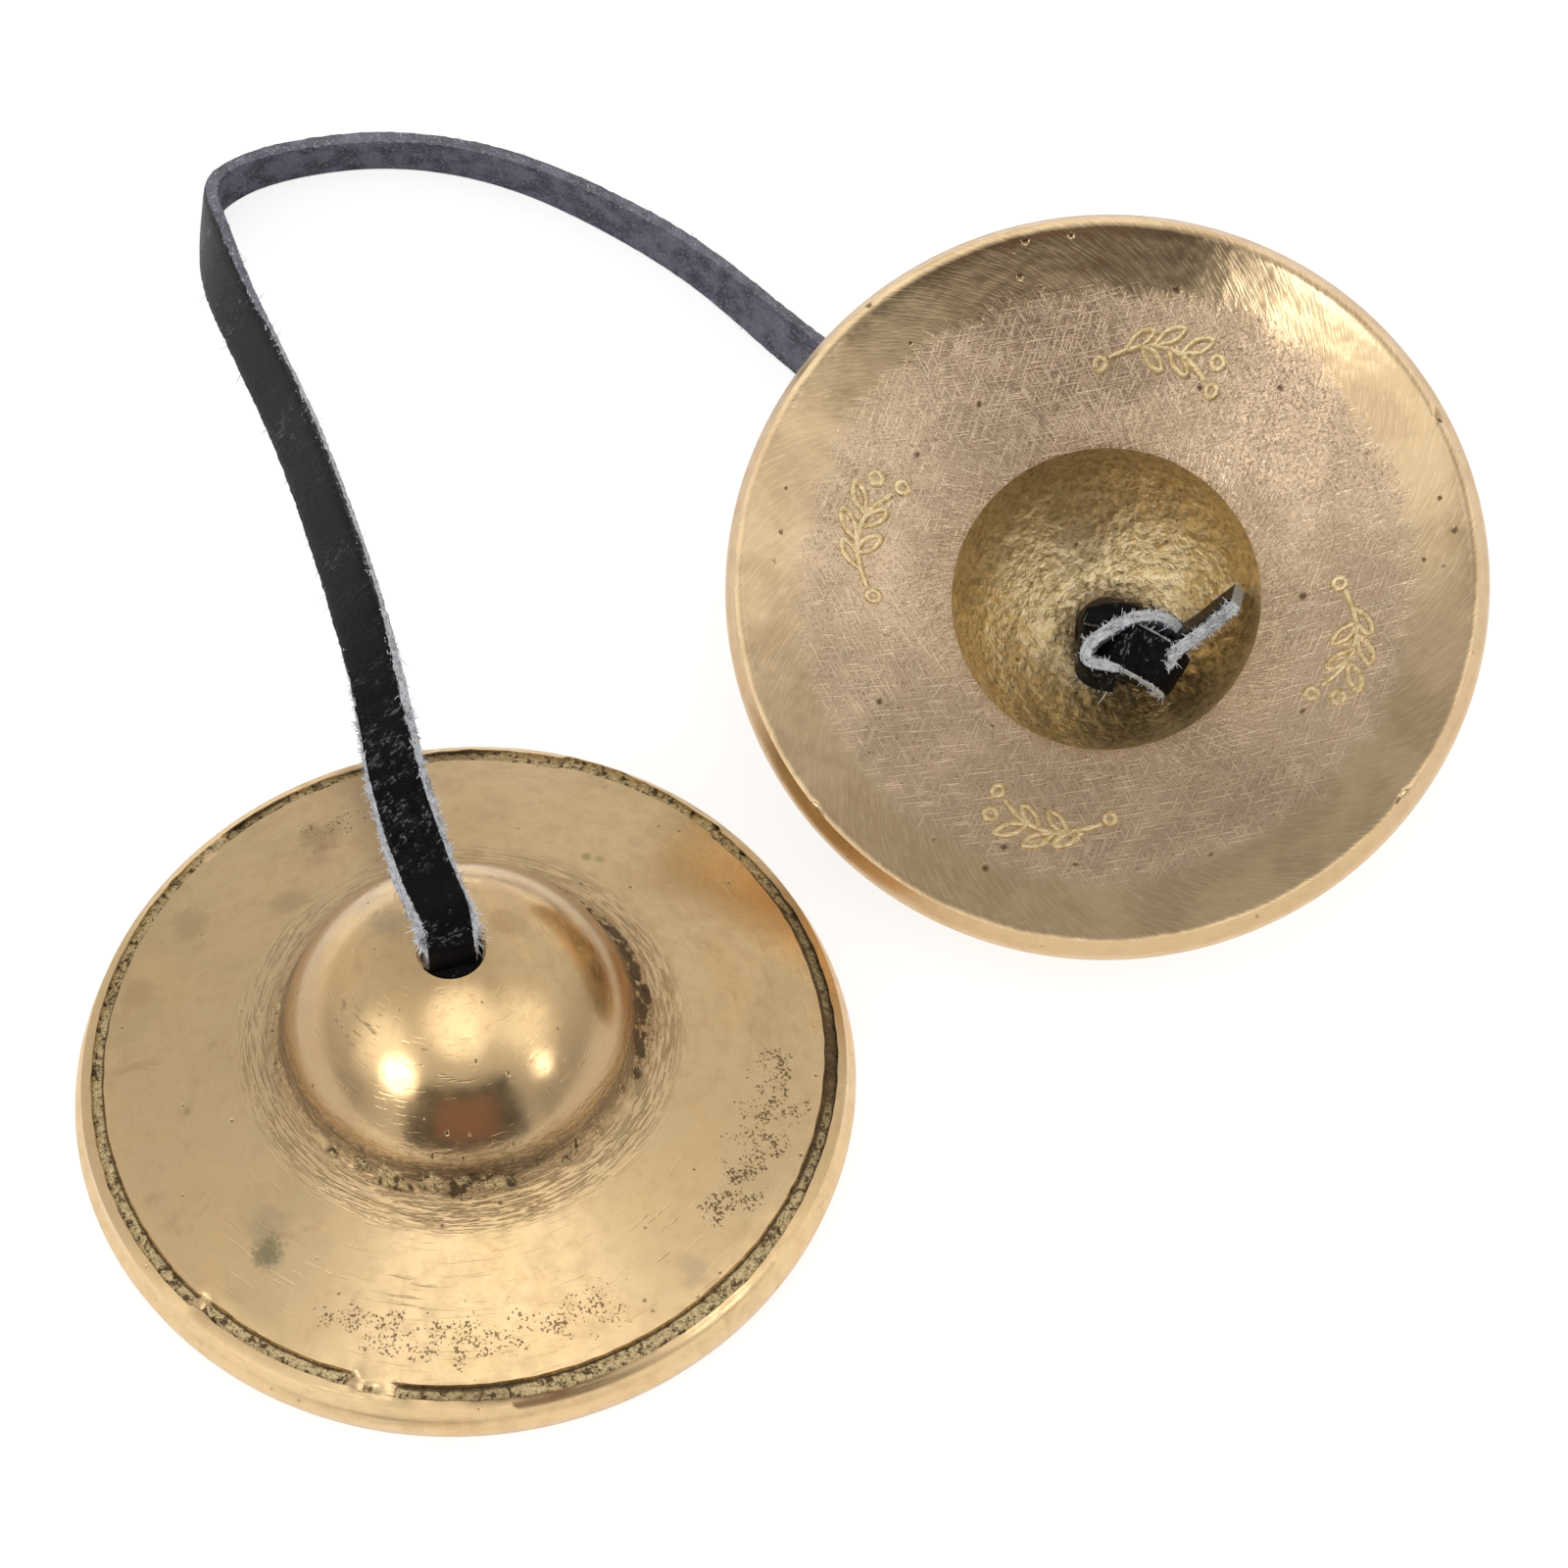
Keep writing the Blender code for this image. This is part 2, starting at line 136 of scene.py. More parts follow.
# %% Smooth line and its table
def smooth_line(distances, values):
    count = len(distances)
    gaps = np.diff(distances)
    slopes = np.diff(values, axis=0) / gaps[:, None]
    system = np.eye(count)
    right = np.zeros((count, values.shape[1]))
    for i in range(1, count - 1):
        system[i, i - 1:i + 2] = gaps[i - 1], 2.0 * (gaps[i - 1] + gaps[i]), gaps[i]
        right[i] = 6.0 * (slopes[i] - slopes[i - 1])
    bends = np.linalg.solve(system, right)

    def at(distance):
        i = int(np.clip(np.searchsorted(distances, distance) - 1, 0, count - 2))
        before = (distances[i + 1] - distance) / gaps[i]
        after = (distance - distances[i]) / gaps[i]
        bow = (before ** 3 - before) * bends[i] + (after ** 3 - after) * bends[i + 1]
        return before * values[i] + after * values[i + 1] + bow * gaps[i] ** 2 / 6.0

    return at


def line_of(points):
    values = np.array(points, float)
    steps = np.linalg.norm(np.diff(values[:, :3], axis=0), axis=1)
    distances = np.concatenate(([0.0], np.cumsum(steps)))
    return smooth_line(distances, values), float(distances[-1])


def tangent_at(curve, length, at):
    ahead = curve(min(at + LINE_STEP, length))[:3] - curve(max(at - LINE_STEP, 0.0))[:3]
    return Vector(ahead).normalized()


# Looks up a table of (centre, across, grain direction) at a distance along the line
def place_on(table, along):
    at = min(max(along / LINE_STEP, 0.0), len(table) - 1.001)
    first = table[int(at)]
    second = table[int(at) + 1]
    return [a.lerp(b, at - int(at)) for a, b in zip(first, second)]


# %% The strap's table
left_foot = Vector(joints["left_spin"]["pos_m"])
left_pivot = Vector(joints["left_swing"]["pos_m"])
right_pivot = Vector(joints["right_swing"]["pos_m"])
left_across = Vector(joints["left_swing"]["axis"])
right_across = Vector(joints["right_swing"]["axis"])
left_level = Vector((-left_across.y, left_across.x, 0.0))
left_out = left_level * math.cos(LEFT_RISE) + Vector((0.0, 0.0, math.sin(LEFT_RISE)))
right_out = Vector((-right_across.y, right_across.x, 0.0))

strap_points = [(*left_pivot, 0.0), (*(left_pivot + left_out * END_LEAD), 0.0)]
for x, y, z, roll in ROUTE:
    strap_points.append((*(left_foot + Vector((x, y, z)) * MM), math.radians(roll)))
strap_points.append((*(right_pivot + right_out * END_LEAD), math.pi))
strap_points.append((*right_pivot, math.pi))
strap_curve, strap_length = line_of(strap_points)


def strap_place(at):
    value = strap_curve(at)
    ahead = tangent_at(strap_curve, strap_length, at)
    side = ahead.cross(Vector((0.0, 0.0, 1.0))).normalized()
    above = side.cross(ahead)
    across = side * math.cos(value[3]) + above * math.sin(value[3])
    near_left = 1.0 - min(at / (CUPPED_RUN + WIDENING_RUN), 1.0)
    near_right = 1.0 - min((strap_length - at) / (CUPPED_RUN + WIDENING_RUN), 1.0)
    across = across.lerp(left_across, near_left).lerp(right_across, near_right)
    across = (across - ahead * across.dot(ahead)).normalized()
    grain = across.cross(ahead)
    centre = Vector(value[:3])
    reach = (abs(across.z) * STRAP_WIDTH + abs(grain.z) * STRAP_THICKNESS) / 2.0
    centre.z = max(centre.z, reach)
    return centre, across, grain


strap_table = [strap_place(i * LINE_STEP) for i in range(int(strap_length / LINE_STEP) + 1)]
strap_table.append(strap_place(strap_length))
strap_middle = [strap_table[i][0] for i in range(0, len(strap_table), 8)] + [strap_table[-1][0]]
print("strap, from hole to hole:", round(strap_length * 1000.0, 1), "mm")

# %% [markdown]
# ## Cutting leather
# A strip is cut flat before it is bent, as a real lace is. A grid is laid out to length and width,
# extruded to thickness, and its side walls are cut into a few rows, so that the cut edge can bulge
# and fray. Each corner remembers where it was on the flat strip, in millimetres, and how near it is
# to the grain side: the finish reads both, so that grain and creases follow the bends.

# %% Flat strip
EDGE_ROWS = 3
EDGE_BULGE = 0.08 * MM
EDGE_FRAY = 0.12 * MM
NAP_DEPTH = 0.05 * MM
RIM_ROUNDING = 0.12 * MM
AT_END = 0.001 * MM


# Where a point was on the flat strip, in millimetres, and how near it is to the grain side
def leather_layers(bm):
    layers = bm.verts.layers
    return layers.float_vector.new("strip_mm"), layers.float.new("skin")


def cut_strip(length, width, step, across_steps, shade_black_ends, thickness=STRAP_THICKNESS):
    bm = bmesh.new()
    steps = max(4, round(length / step))
    bmesh.ops.create_grid(bm, x_segments=steps, y_segments=across_steps, size=0.5)
    bmesh.ops.scale(bm, vec=(length, width, 1.0), verts=bm.verts)
    bmesh.ops.translate(bm, vec=(length / 2.0, 0.0, -thickness / 2.0), verts=bm.verts)
    raised = bmesh.ops.extrude_face_region(bm, geom=bm.faces[:])
    top = [item for item in raised["geom"] if isinstance(item, bmesh.types.BMVert)]
    bmesh.ops.translate(bm, vec=(0.0, 0.0, thickness), verts=top)
    upright = [
        edge for edge in bm.edges if abs(edge.verts[0].co.z - edge.verts[1].co.z) > thickness / 2.0
    ]
    bmesh.ops.subdivide_edges(bm, edges=upright, cuts=EDGE_ROWS, use_grid_fill=True)
    flat, skin = leather_layers(bm)
    for corner in bm.verts:
        corner[flat] = corner.co / MM
        # The ends that sit inside the holes can be painted black, as painted shade
        at_end = not AT_END < corner.co.x < length - AT_END
        corner[skin] = 1.0 if at_end and shade_black_ends else corner.co.z / (thickness / 2.0)
    return bm


# Frays the cut edges, rounds the grain side's rims and roughens the suede side
def fray_strip(bm, width, fray, seed, inset_at):
    shift = Vector((seed, 0.0, 0.0))
    half = width / 2.0
    for corner in bm.verts:
        x, y, z = corner.co
        up = z / STRAP_THICKNESS
        wisp = noise.noise(corner.co / (0.9 * MM) + shift)
        wisp += 0.6 * noise.noise(corner.co / (0.35 * MM) + shift)
        if abs(y) > half - 0.01 * MM:
            out = EDGE_BULGE * math.cos(math.pi * up) - inset_at(x) * (0.5 + up) + fray * wisp
            corner.co.y += out if y > 0.0 else -out
        if up > 0.4:
            corner.co.z -= RIM_ROUNDING * (abs(y) / half) ** 8
        if up < -0.4:
            corner.co.z += NAP_DEPTH * wisp


def bend_strip(bm, table, width_at, place=Matrix()):
    for corner in bm.verts:
        along, side, lift = corner.co
        centre, across, grain = place_on(table, max(along, 0.0))
        centre = centre + (grain.cross(across) * 0.35 + Vector((0.0, 0.0, 0.75))) * min(along, 0.0)
        corner.co = centre + across * (side * width_at(along)) + grain * lift
    bmesh.ops.transform(bm, matrix=place, verts=bm.verts)


# %% [markdown]
# A bmesh becomes a piece once its faces point outwards. The object stays at the origin, because
# its place is already in its mesh.

# %% From bmesh to piece
SHARP = math.radians(38.0)


def finish_piece(name, bm, materials, body):
    bmesh.ops.recalc_face_normals(bm, faces=bm.faces)
    mesh = bpy.data.meshes.new(name)
    bm.to_mesh(mesh)
    bm.free()
    mesh.shade_smooth()
    mesh.set_sharp_from_angle(angle=SHARP)
    for material in materials:
        mesh.materials.append(material)
    piece = add_object(name, mesh)
    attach(piece, body)
    print(name, len(mesh.polygons), "faces")
    return piece


# %% [markdown]
# ## Writing materials
# A material is a graph of nodes. A value here is one output of a node. Arithmetic on it, or a
# method such as noise or step, adds a node and gives that node's value, so that a finish can be
# read as a recipe: noise for patches, cells for pits, a bump for depth.

# %% Values that write nodes
def add_node(tree, kind, inputs=None, **settings):
    made = tree.nodes.new("ShaderNode" + kind)
    for key, value in settings.items():
        setattr(made, key, value)
    for key, value in (inputs or {}).items():
        if isinstance(value, Value):
            value.into(made.inputs[key])
        else:
            made.inputs[key].default_value = value
    return made


class Value:
    def __init__(self, tree, socket):
        self.tree = tree
        self.socket = socket

    def into(self, socket):
        self.tree.links.new(self.socket, socket)

    def node(self, kind, inputs, output=0, **settings):
        return Value(self.tree, add_node(self.tree, kind, inputs, **settings).outputs[output])

    def math(self, operation, other=0.0):
        return self.node("Math", {0: self, 1: other}, operation=operation)

    def __add__(self, other):
        return self.math("ADD", other)

    def __mul__(self, other):
        return self.math("MULTIPLY", other)

    def __sub__(self, other):
        return self.math("SUBTRACT", other)

    def __rsub__(self, other):
        return self.node("Math", {0: other, 1: self}, operation="SUBTRACT")

    def __abs__(self):
        return self.math("ABSOLUTE")

    __radd__ = __add__
    __rmul__ = __mul__

    # Goes softly from start to end, while this value goes from low to high
    def step(self, low, high, start=0.0, end=1.0):
        inputs = {"Value": self, "From Min": low, "From Max": high, "To Min": start, "To Max": end}
        return self.node("MapRange", inputs, interpolation_type="SMOOTHSTEP")

    def noise(self, scale, detail=3.0, roughness=0.55, distortion=0.0):
        inputs = {"Vector": self, "Scale": scale, "Detail": detail, "Roughness": roughness}
        return self.node("TexNoise", {**inputs, "Distortion": distortion}, "Fac")

    def vector(self, operation, other=(0.0, 0.0, 0.0), output="Vector"):
        return self.node("VectorMath", {0: self, 1: other}, output, operation=operation)

    def scaled(self, sizes):
        return self.vector("MULTIPLY", sizes)

    def turned(self, angle):
        return self.node("VectorRotate", {"Vector": self, "Angle": angle}, rotation_type="Z_AXIS")

    def parts(self):
        made = add_node(self.tree, "SeparateXYZ", {0: self})
        return [Value(self.tree, part) for part in made.outputs]

    # The place without its height, its distance from the axis and its direction from it
    def level(self):
        return self.scaled((1.0, 1.0, 0.0))

    def radius(self):
        return self.level().vector("LENGTH", output="Value")

    def heading(self):
        return self.level().vector("NORMALIZE")

    def facing(self, way):
        return self.vector("DOT_PRODUCT", way, "Value")


def output_of(tree, kind, output=0, inputs=None, **settings):
    return Value(tree, add_node(tree, kind, inputs, **settings).outputs[output])


def joined(x, y, z):
    return x.node("CombineXYZ", {0: x, 1: y, 2: z})


def highest(first, *others):
    for other in others:
        first = first.math("MAXIMUM", other)
    return first


# Lays colours over a first one, each as far as its mask says
def layered(colour, *layers):
    for mask, over in layers:
        colour = mask.node("Mix", {0: mask, 6: colour, 7: over}, 2, data_type="RGBA")
    return colour


# %% Materials
def attribute_of(tree, name, output="Vector"):
    return output_of(tree, "Attribute", output, attribute_name=name)


def new_material(name, sockets):
    material = bpy.data.materials.new(name)
    material.use_nodes = True
    shader = material.node_tree.nodes["Principled BSDF"]
    for key, value in sockets.items():
        shader.inputs[key].default_value = value
    return material, material.node_tree, shader


# The height is in millimetres
def finish_shader(shader, colour, roughness, height):
    normal = height.node("Bump", {"Height": height, "Distance": MM, "Strength": 1.0})
    for key, value in (("Base Color", colour), ("Roughness", roughness), ("Normal", normal)):
        value.into(shader.inputs[key])


def direction_to(azimuth, height=0.0):
    a = math.radians(azimuth)
    e = math.radians(height)
    return Vector((math.cos(a) * math.cos(e), math.sin(a) * math.cos(e), math.sin(e)))


# %% [markdown]
# Effects that several finishes share are node groups. Each is made once from a recipe, takes the
# place in millimetres, and puts out a value between 0 and 1.

# %% Group maker
def new_group(recipe, **floats):
    group = bpy.data.node_groups.new(recipe.__name__, "ShaderNodeTree")
    socket = group.interface.new_socket
    socket("Place", in_out="INPUT", socket_type="NodeSocketVector")
    for key, value in floats.items():
        socket(key.title(), in_out="INPUT", socket_type="NodeSocketFloat").default_value = value
    socket("Value", in_out="OUTPUT", socket_type="NodeSocketFloat")
    given = group.nodes.new("NodeGroupInput").outputs
    result = recipe(*[Value(group, given[key.title()]) for key in ("place", *floats)])
    result.into(group.nodes.new("NodeGroupOutput").inputs["Value"])

    def use(place, **values):
        inputs = {key.title(): value for key, value in values.items()}
        return place.node("Group", {"Place": place, **inputs}, "Value", node_tree=group)

    return use


# %% [markdown]
# ## Marks on metal
# Turned marks run round the cymbal's axis. Noise is read at a point made of the direction from the
# axis, which changes slowly along a ring, and the radius, which changes fast from ring to ring, so
# the noise is drawn out into strokes and there is no seam. A slant turns the direction as the
# radius grows, which makes the strokes spiral like those of a hand-held abrasive.

# %% Turned strokes
def turned_strokes(place, around, across, slant):
    radius = place.radius()
    x, y, _ = place.heading().turned(radius * slant).parts()
    return joined(x * around, y * around, radius * across).noise(1.0, 2.0, 0.6)


turned = new_group(turned_strokes, around=4.0, across=6.0, slant=0.0)

# %% [markdown]
# Sanding marks are straight, and cross each other in a few directions. Each direction is noise
# drawn out along one line, and the strongest of the three is kept at each point.

# %% Sanding scratches
def sanding_scratches(place, fine, long):
    lines = []
    for angle, offset in ((0.5, 3.0), (1.35, 11.0), (2.6, 29.0)):
        x, y, _ = place.turned(angle).parts()
        lines.append(joined(x * long, y * fine, offset).noise(1.0, 2.0, 0.5).step(0.52, 0.72))
    return highest(*lines)


sanded = new_group(sanding_scratches, fine=7.0, long=0.35)

# %% [markdown]
# Casting leaves pinholes that polishing opens up. Cells scatter a point in each little box of
# space, a pit is a small disc round it, and noise leaves most of the cells without one.

# %% Pinholes
def pinholes(place, scale, size, share):
    cells = add_node(place.tree, "TexVoronoi", {"Vector": place, "Scale": scale}).outputs
    growth, choice, _ = Value(place.tree, cells["Color"]).parts()
    hole_size = size * (place.noise(2.5, 2.0) + growth)
    inputs = {"Value": Value(place.tree, cells["Distance"]), "From Min": hole_size * 0.4}
    inputs.update({"From Max": hole_size, "To Min": 1.0, "To Max": 0.0})
    return place.node("MapRange", inputs) * choice.math("LESS_THAN", share)


pinholed = new_group(pinholes, scale=1.6, size=0.2, share=0.5)

# %% [markdown]
# Bare brass darkens unevenly where it is handled. Two sizes of noise, one bending the other, make
# cloudy patches with soft borders.

# %% Tarnish
def tarnish(place, scale, low, high):
    return place.noise(scale, 4.0, 0.6, 0.6).step(low, high)


tarnished = new_group(tarnish, scale=0.09, low=0.45, high=0.7)
print("groups:", [group.name for group in bpy.data.node_groups])

# %% [markdown]
# ## Brass finishes
# The same metal carries three finishes. The outside is polished bright, with the rough skin of the
# casting left in the groove and round the foot of the dome. The striking side is sanded dull, with
# a ground ring inside the rim. The hollow of the dome is left as it was cast. The colours are the
# metal's own, with painted shade added in the crease, the groove, round the sides of the dome and
# round the hole: the room does the rest.

# %% Brass colours
GOLD = (0.80, 0.585, 0.33, 1.0)
WARM_GOLD = (0.80, 0.545, 0.27, 1.0)
BROWN_GOLD = (0.52, 0.34, 0.18, 1.0)
GREY_GOLD = (0.36, 0.31, 0.22, 1.0)
SANDED = (0.66, 0.49, 0.335, 1.0)
SANDED_DARK = (0.46, 0.335, 0.225, 1.0)
CAST_LIGHT = (0.78, 0.63, 0.37, 1.0)
CAST_GOLD = (0.44, 0.32, 0.14, 1.0)
# The darkest cast colour, also used for painted shade in the crease, the groove and round the hole
CAST_AND_SHADE_DARK = (0.13, 0.085, 0.045, 1.0)
PIT_DARK = (0.09, 0.05, 0.02, 1.0)
DULL_GOLD = (0.42, 0.29, 0.155, 1.0)
SMUDGE = (0.27, 0.235, 0.12, 1.0)
RING_GOLD = (0.60, 0.445, 0.265, 1.0)
RING_BROWN = (0.42, 0.29, 0.165, 1.0)
OLIVE_GOLD = (0.62, 0.48, 0.25, 1.0)
GREEN_BROWN = (0.36, 0.30, 0.13, 1.0)
GRIT_BROWN = (0.22, 0.15, 0.09, 1.0)
SCRATCH_GOLD = (0.88, 0.72, 0.52, 1.0)
STROKE_GOLD = (0.76, 0.60, 0.38, 1.0)
HOLLOW_GOLD = (0.66, 0.50, 0.25, 1.0)
HOLLOW_LIGHT = (0.92, 0.76, 0.47, 1.0)
HOLLOW_BROWN = (0.50, 0.38, 0.19, 1.0)


# %% Masks on a cymbal
def ring_band(radius, middle, half):
    return abs(radius - middle).step(half, half * 0.3)


# A soft patch round a place given by its distance and bearing from the axis
def spot(place, ragged, distance, bearing, size):
    away = place.level().vector("DISTANCE", direction_to(bearing) * distance, "Value")
    return (away + (ragged - 0.5) * (1.6 * size)).step(size, 0.25 * size)


# A soft patch drawn out along a ring: its middle radius, half width, middle bearing, half angle
def arc_patch(place, ragged, middle, half, bearing, half_angle):
    near = place.heading().facing(direction_to(bearing))
    reach = place.radius() + (ragged - 0.5) * (5.0 * half)
    edge = math.cos(math.radians(half_angle))
    return ring_band(reach, middle, half) * near.step(edge, edge + 0.35 * (1.0 - edge))


# Marks of one kind together. The last number of each is its strength.
def all_of(shape, place, ragged, marks):
    return sum(shape(place, ragged, *mark[:-1]) * mark[-1] for mark in marks)


def spots(place, ragged, marks):
    return all_of(spot, place, ragged, marks).math("MINIMUM", 1.0)


# %% [markdown]
# Marks that give this pair its history are listed one by one: distance from the axis in millimetres,
# bearing in degrees, size in millimetres and strength.

# %% Marks on the polished side
BROWN_STAINS = (
    (24.5, 122.0, 2.4, 0.7), (22.0, 126.0, 1.6, 0.5), (20.0, 138.0, 2.4, 0.45),
    (26.5, 152.0, 2.2, 0.45), (28.0, 168.0, 2.0, 0.4), (5.5, 35.0, 2.2, 0.5),
    (8.5, 62.0, 2.6, 0.45), (4.2, 320.0, 1.2, 0.35),
)
GREY_SMUDGES = (
    (24.3, 233.0, 1.5, 0.6), (22.6, 229.0, 2.4, 0.35), (27.5, 314.0, 2.0, 0.3),
    (13.0, 292.0, 2.6, 0.2), (6.0, 150.0, 2.2, 0.45), (9.5, 138.0, 2.0, 0.35),
)
GREEN_DOTS = ((20.2, 61.0, 0.5, 0.7), (20.6, 58.0, 0.6, 0.5), (23.0, 196.0, 0.45, 0.5))
DOME_PITS = (
    (9.0, 284.0, 0.2, 1.0), (10.3, 297.0, 0.17, 1.0), (12.8, 269.0, 0.2, 1.0),
    (12.9, 277.0, 0.13, 0.8), (13.4, 285.0, 0.13, 0.9), (13.8, 264.0, 0.16, 0.8),
    (13.7, 291.0, 0.12, 0.8), (13.9, 274.0, 0.12, 0.9), (12.4, 227.0, 0.12, 0.8),
    (13.6, 214.0, 0.13, 0.7), (14.1, 198.0, 0.12, 0.7), (5.2, 300.0, 0.1, 0.7),
    (27.4, 304.0, 0.2, 0.8),
)
SCRATCH_FIELDS = (
    (24.0, 314.0, 2.4, 1.0), (9.5, 212.0, 2.8, 0.9),
    (8.8, 262.0, 1.4, 0.7), (22.5, 262.0, 2.2, 0.5),
)
# Drawn out along a ring: radius, half width, bearing, half angle and strength
PORE_ARCS = (
    (26.2, 1.7, 273.0, 30.0, 0.75), (26.0, 2.1, 341.0, 21.0, 1.0), (24.8, 1.4, 118.0, 9.0, 0.6),
)
BIG_SMUDGE = (24.0, 232.0, 1.7)
# The radius of the foot of the dome
FOOT_RING = 15.4


# %% Polished brass, outside
def polished_brass():
    material, tree, shader = new_material("polished_brass", {"Metallic": 1.0})
    place = attribute_of(tree, "own_mm")
    cast = attribute_of(tree, "cast_skin", "Fac")
    grime_and_shade = attribute_of(tree, "grime_and_shade", "Fac")
    radius = place.radius()
    depth = place.parts()[2]
    ragged = place.noise(0.5, 3.0, 0.6)
    fine = place.noise(2.4, 3.0, 0.6)
    mottle = place.noise(0.7, 4.0, 0.7)
    lumps = place.noise(1.7, 4.0, 0.65, 0.4)
    grains = place.noise(5.0, 3.0, 0.6)
    clouds = tarnished(place, scale=0.08, low=0.42, high=0.7)
    stains = tarnished(place, scale=0.2, low=0.6, high=0.74)
    olive = tarnished(place, scale=0.13, low=0.5, high=0.66)

    is_dome = radius.step(15.0, 14.4)
    front = place.heading().facing((0.0, -1.0, 0.0))
    # Painted shade: round the dome, 8 to 12 mm from the axis, the colour darkens everywhere but towards
    # the front
    dome_side_shade = radius.step(8.2, 12.4) * front.step(0.96, 0.78)
    crease = radius + (fine - 0.5) * 0.8
    near_foot = ring_band(radius, FOOT_RING + 0.7, 3.0)
    is_cast = (cast + (fine - 0.5) * 0.9).step(0.35, 0.6)
    dirty_and_shaded = (grime_and_shade + (grains - 0.5) * 1.2).step(0.3, 0.75)

    brushed = turned(place, around=6.0, across=4.6, slant=0.16).step(0.48, 0.64)
    crossed = turned(place, around=9.0, across=5.0, slant=-0.12).step(0.55, 0.68)
    hairs = turned(place, around=5.0, across=3.4, slant=0.34).step(0.6, 0.7)
    scratched = hairs * (spots(place, ragged, SCRATCH_FIELDS) + 0.12)
    marks = highest(brushed, crossed) * near_foot + scratched

    field = all_of(arc_patch, place, ragged, PORE_ARCS) * place.noise(0.9, 3.0, 0.6).step(0.32, 0.58)
    pores = (place.noise(4.2, 3.0, 0.55, 0.3) + field * 0.16).step(0.655, 0.70) * field.step(0.05, 0.3)
    strays = pinholed(place, scale=0.5, size=0.08, share=0.55) * 0.8
    holes = highest(pores, strays, spots(place, fine, DOME_PITS))

    rough_colour = layered(
        CAST_GOLD, (grains.step(0.34, 0.56), CAST_LIGHT), (lumps.step(0.52, 0.38), CAST_AND_SHADE_DARK)
    )
    colour = layered(
        GOLD,
        (clouds * 0.5 + is_dome * 0.45, WARM_GOLD),
        (olive * 0.4, OLIVE_GOLD),
        (stains * 0.45, BROWN_GOLD),
        # painted shade on the sides and back of the dome
        (dome_side_shade * is_dome * 0.8, DULL_GOLD),
        (ring_band(radius, FOOT_RING - 0.5, 1.7) * 0.6, DULL_GOLD),
        # Painted shade: a dark line in the crease at the foot of the dome
        (ring_band(crease, FOOT_RING - 0.9, 0.5) * 0.7, CAST_AND_SHADE_DARK),
        (mottle.step(0.42, 0.7, 0.0, 0.26), BROWN_GOLD),
        (spots(place, ragged, BROWN_STAINS), BROWN_GOLD),
        (spots(place, ragged, GREY_SMUDGES), GREY_GOLD),
        (spot(place, fine, *BIG_SMUDGE) * 0.75, SMUDGE),
        (spots(place, ragged, GREEN_DOTS), GREEN_BROWN),
        (marks * 0.7, DULL_GOLD),
        (holes * 0.78, PIT_DARK),
        (depth.step(3.0, 1.6, 0.0, 0.5), BROWN_GOLD),
        (is_cast, rough_colour),
        # dirt and painted shade in the groove and between the lumps at the foot of the dome
        (dirty_and_shaded * 0.92, CAST_AND_SHADE_DARK),
    )
    roughness = is_dome.step(0.0, 1.0, 0.27, 0.19) + mottle.step(0.35, 0.65, -0.03, 0.04)
    roughness = roughness + ring_band(radius, FOOT_RING - 0.5, 1.5) * 0.12 + clouds * 0.05
    roughness = roughness + radius.step(31.3, 32.0, 0.0, 0.08) + near_foot * 0.08 + is_cast * 0.2
    height = marks * -0.06 + holes * -0.07
    height = height + place.noise(0.13, 2.0) * 0.09 + place.noise(1.1, 2.0) * 0.0025
    height = height + is_cast * (lumps * 0.22 + grains * 0.12)
    finish_shader(shader, colour, roughness, height)
    return material


# %% Striking side, sanded inside and ground along the rim
GROUND_FROM = 24.4
GROUND_FULL = 27.0


def striking_brass():
    material, tree, shader = new_material("striking_brass", {"Metallic": 1.0})
    place = attribute_of(tree, "own_mm")
    radius = place.radius()
    grain = place.noise(7.0, 2.0, 0.6)
    clouds = tarnished(place, scale=0.1, low=0.42, high=0.62)
    freckles = tarnished(place, scale=1.1, low=0.56, high=0.72)
    pits = pinholed(place, scale=0.42, size=0.13, share=0.4)
    grit = place.noise(3.4, 3.0, 0.6, 0.3).step(0.54, 0.68)
    gritty = place.noise(0.16, 3.0, 0.6).step(0.42, 0.6, 0.25, 1.0)

    streaks = turned(place, around=60.0, across=0.25, slant=0.02)
    reach = radius + (place.noise(0.22, 4.0, 0.7) - 0.5) * 4.0 + (streaks - 0.5) * 3.0
    ground = reach.step(GROUND_FROM, GROUND_FULL)
    spokes = turned(place, around=130.0, across=0.5, slant=0.03).step(0.46, 0.66)
    marks = sanded(place, fine=5.0, long=0.35) * 0.8 + spokes * radius.step(20.0, 14.5) * 0.9
    strokes = turned(place, around=85.0, across=0.9, slant=0.045).step(0.42, 0.68)

    ring_colour = layered(RING_GOLD, (clouds * 0.6, RING_BROWN), (strokes * 0.3, STROKE_GOLD))
    colour = layered(
        SANDED,
        (clouds * 0.8, SANDED_DARK),
        (freckles * 0.5, SANDED_DARK),
        (grit * gritty * 0.75, GRIT_BROWN),
        (grain.step(0.45, 0.65, 0.0, 0.5), SANDED_DARK),
        (marks * 0.7, SCRATCH_GOLD),
        (ground, ring_colour),
        (pits * 0.8, PIT_DARK),
    )
    roughness = ground.step(0.0, 1.0, 0.24, 0.17) + grain * 0.08
    sanded_height = marks * 0.035 + grain * 0.025 + grit * -0.02
    height = sanded_height + ground * (strokes * 0.005 - sanded_height)
    height = height + pits * -0.08 + place.noise(0.3, 2.0) * 0.1
    finish_shader(shader, colour, roughness, height)
    return material


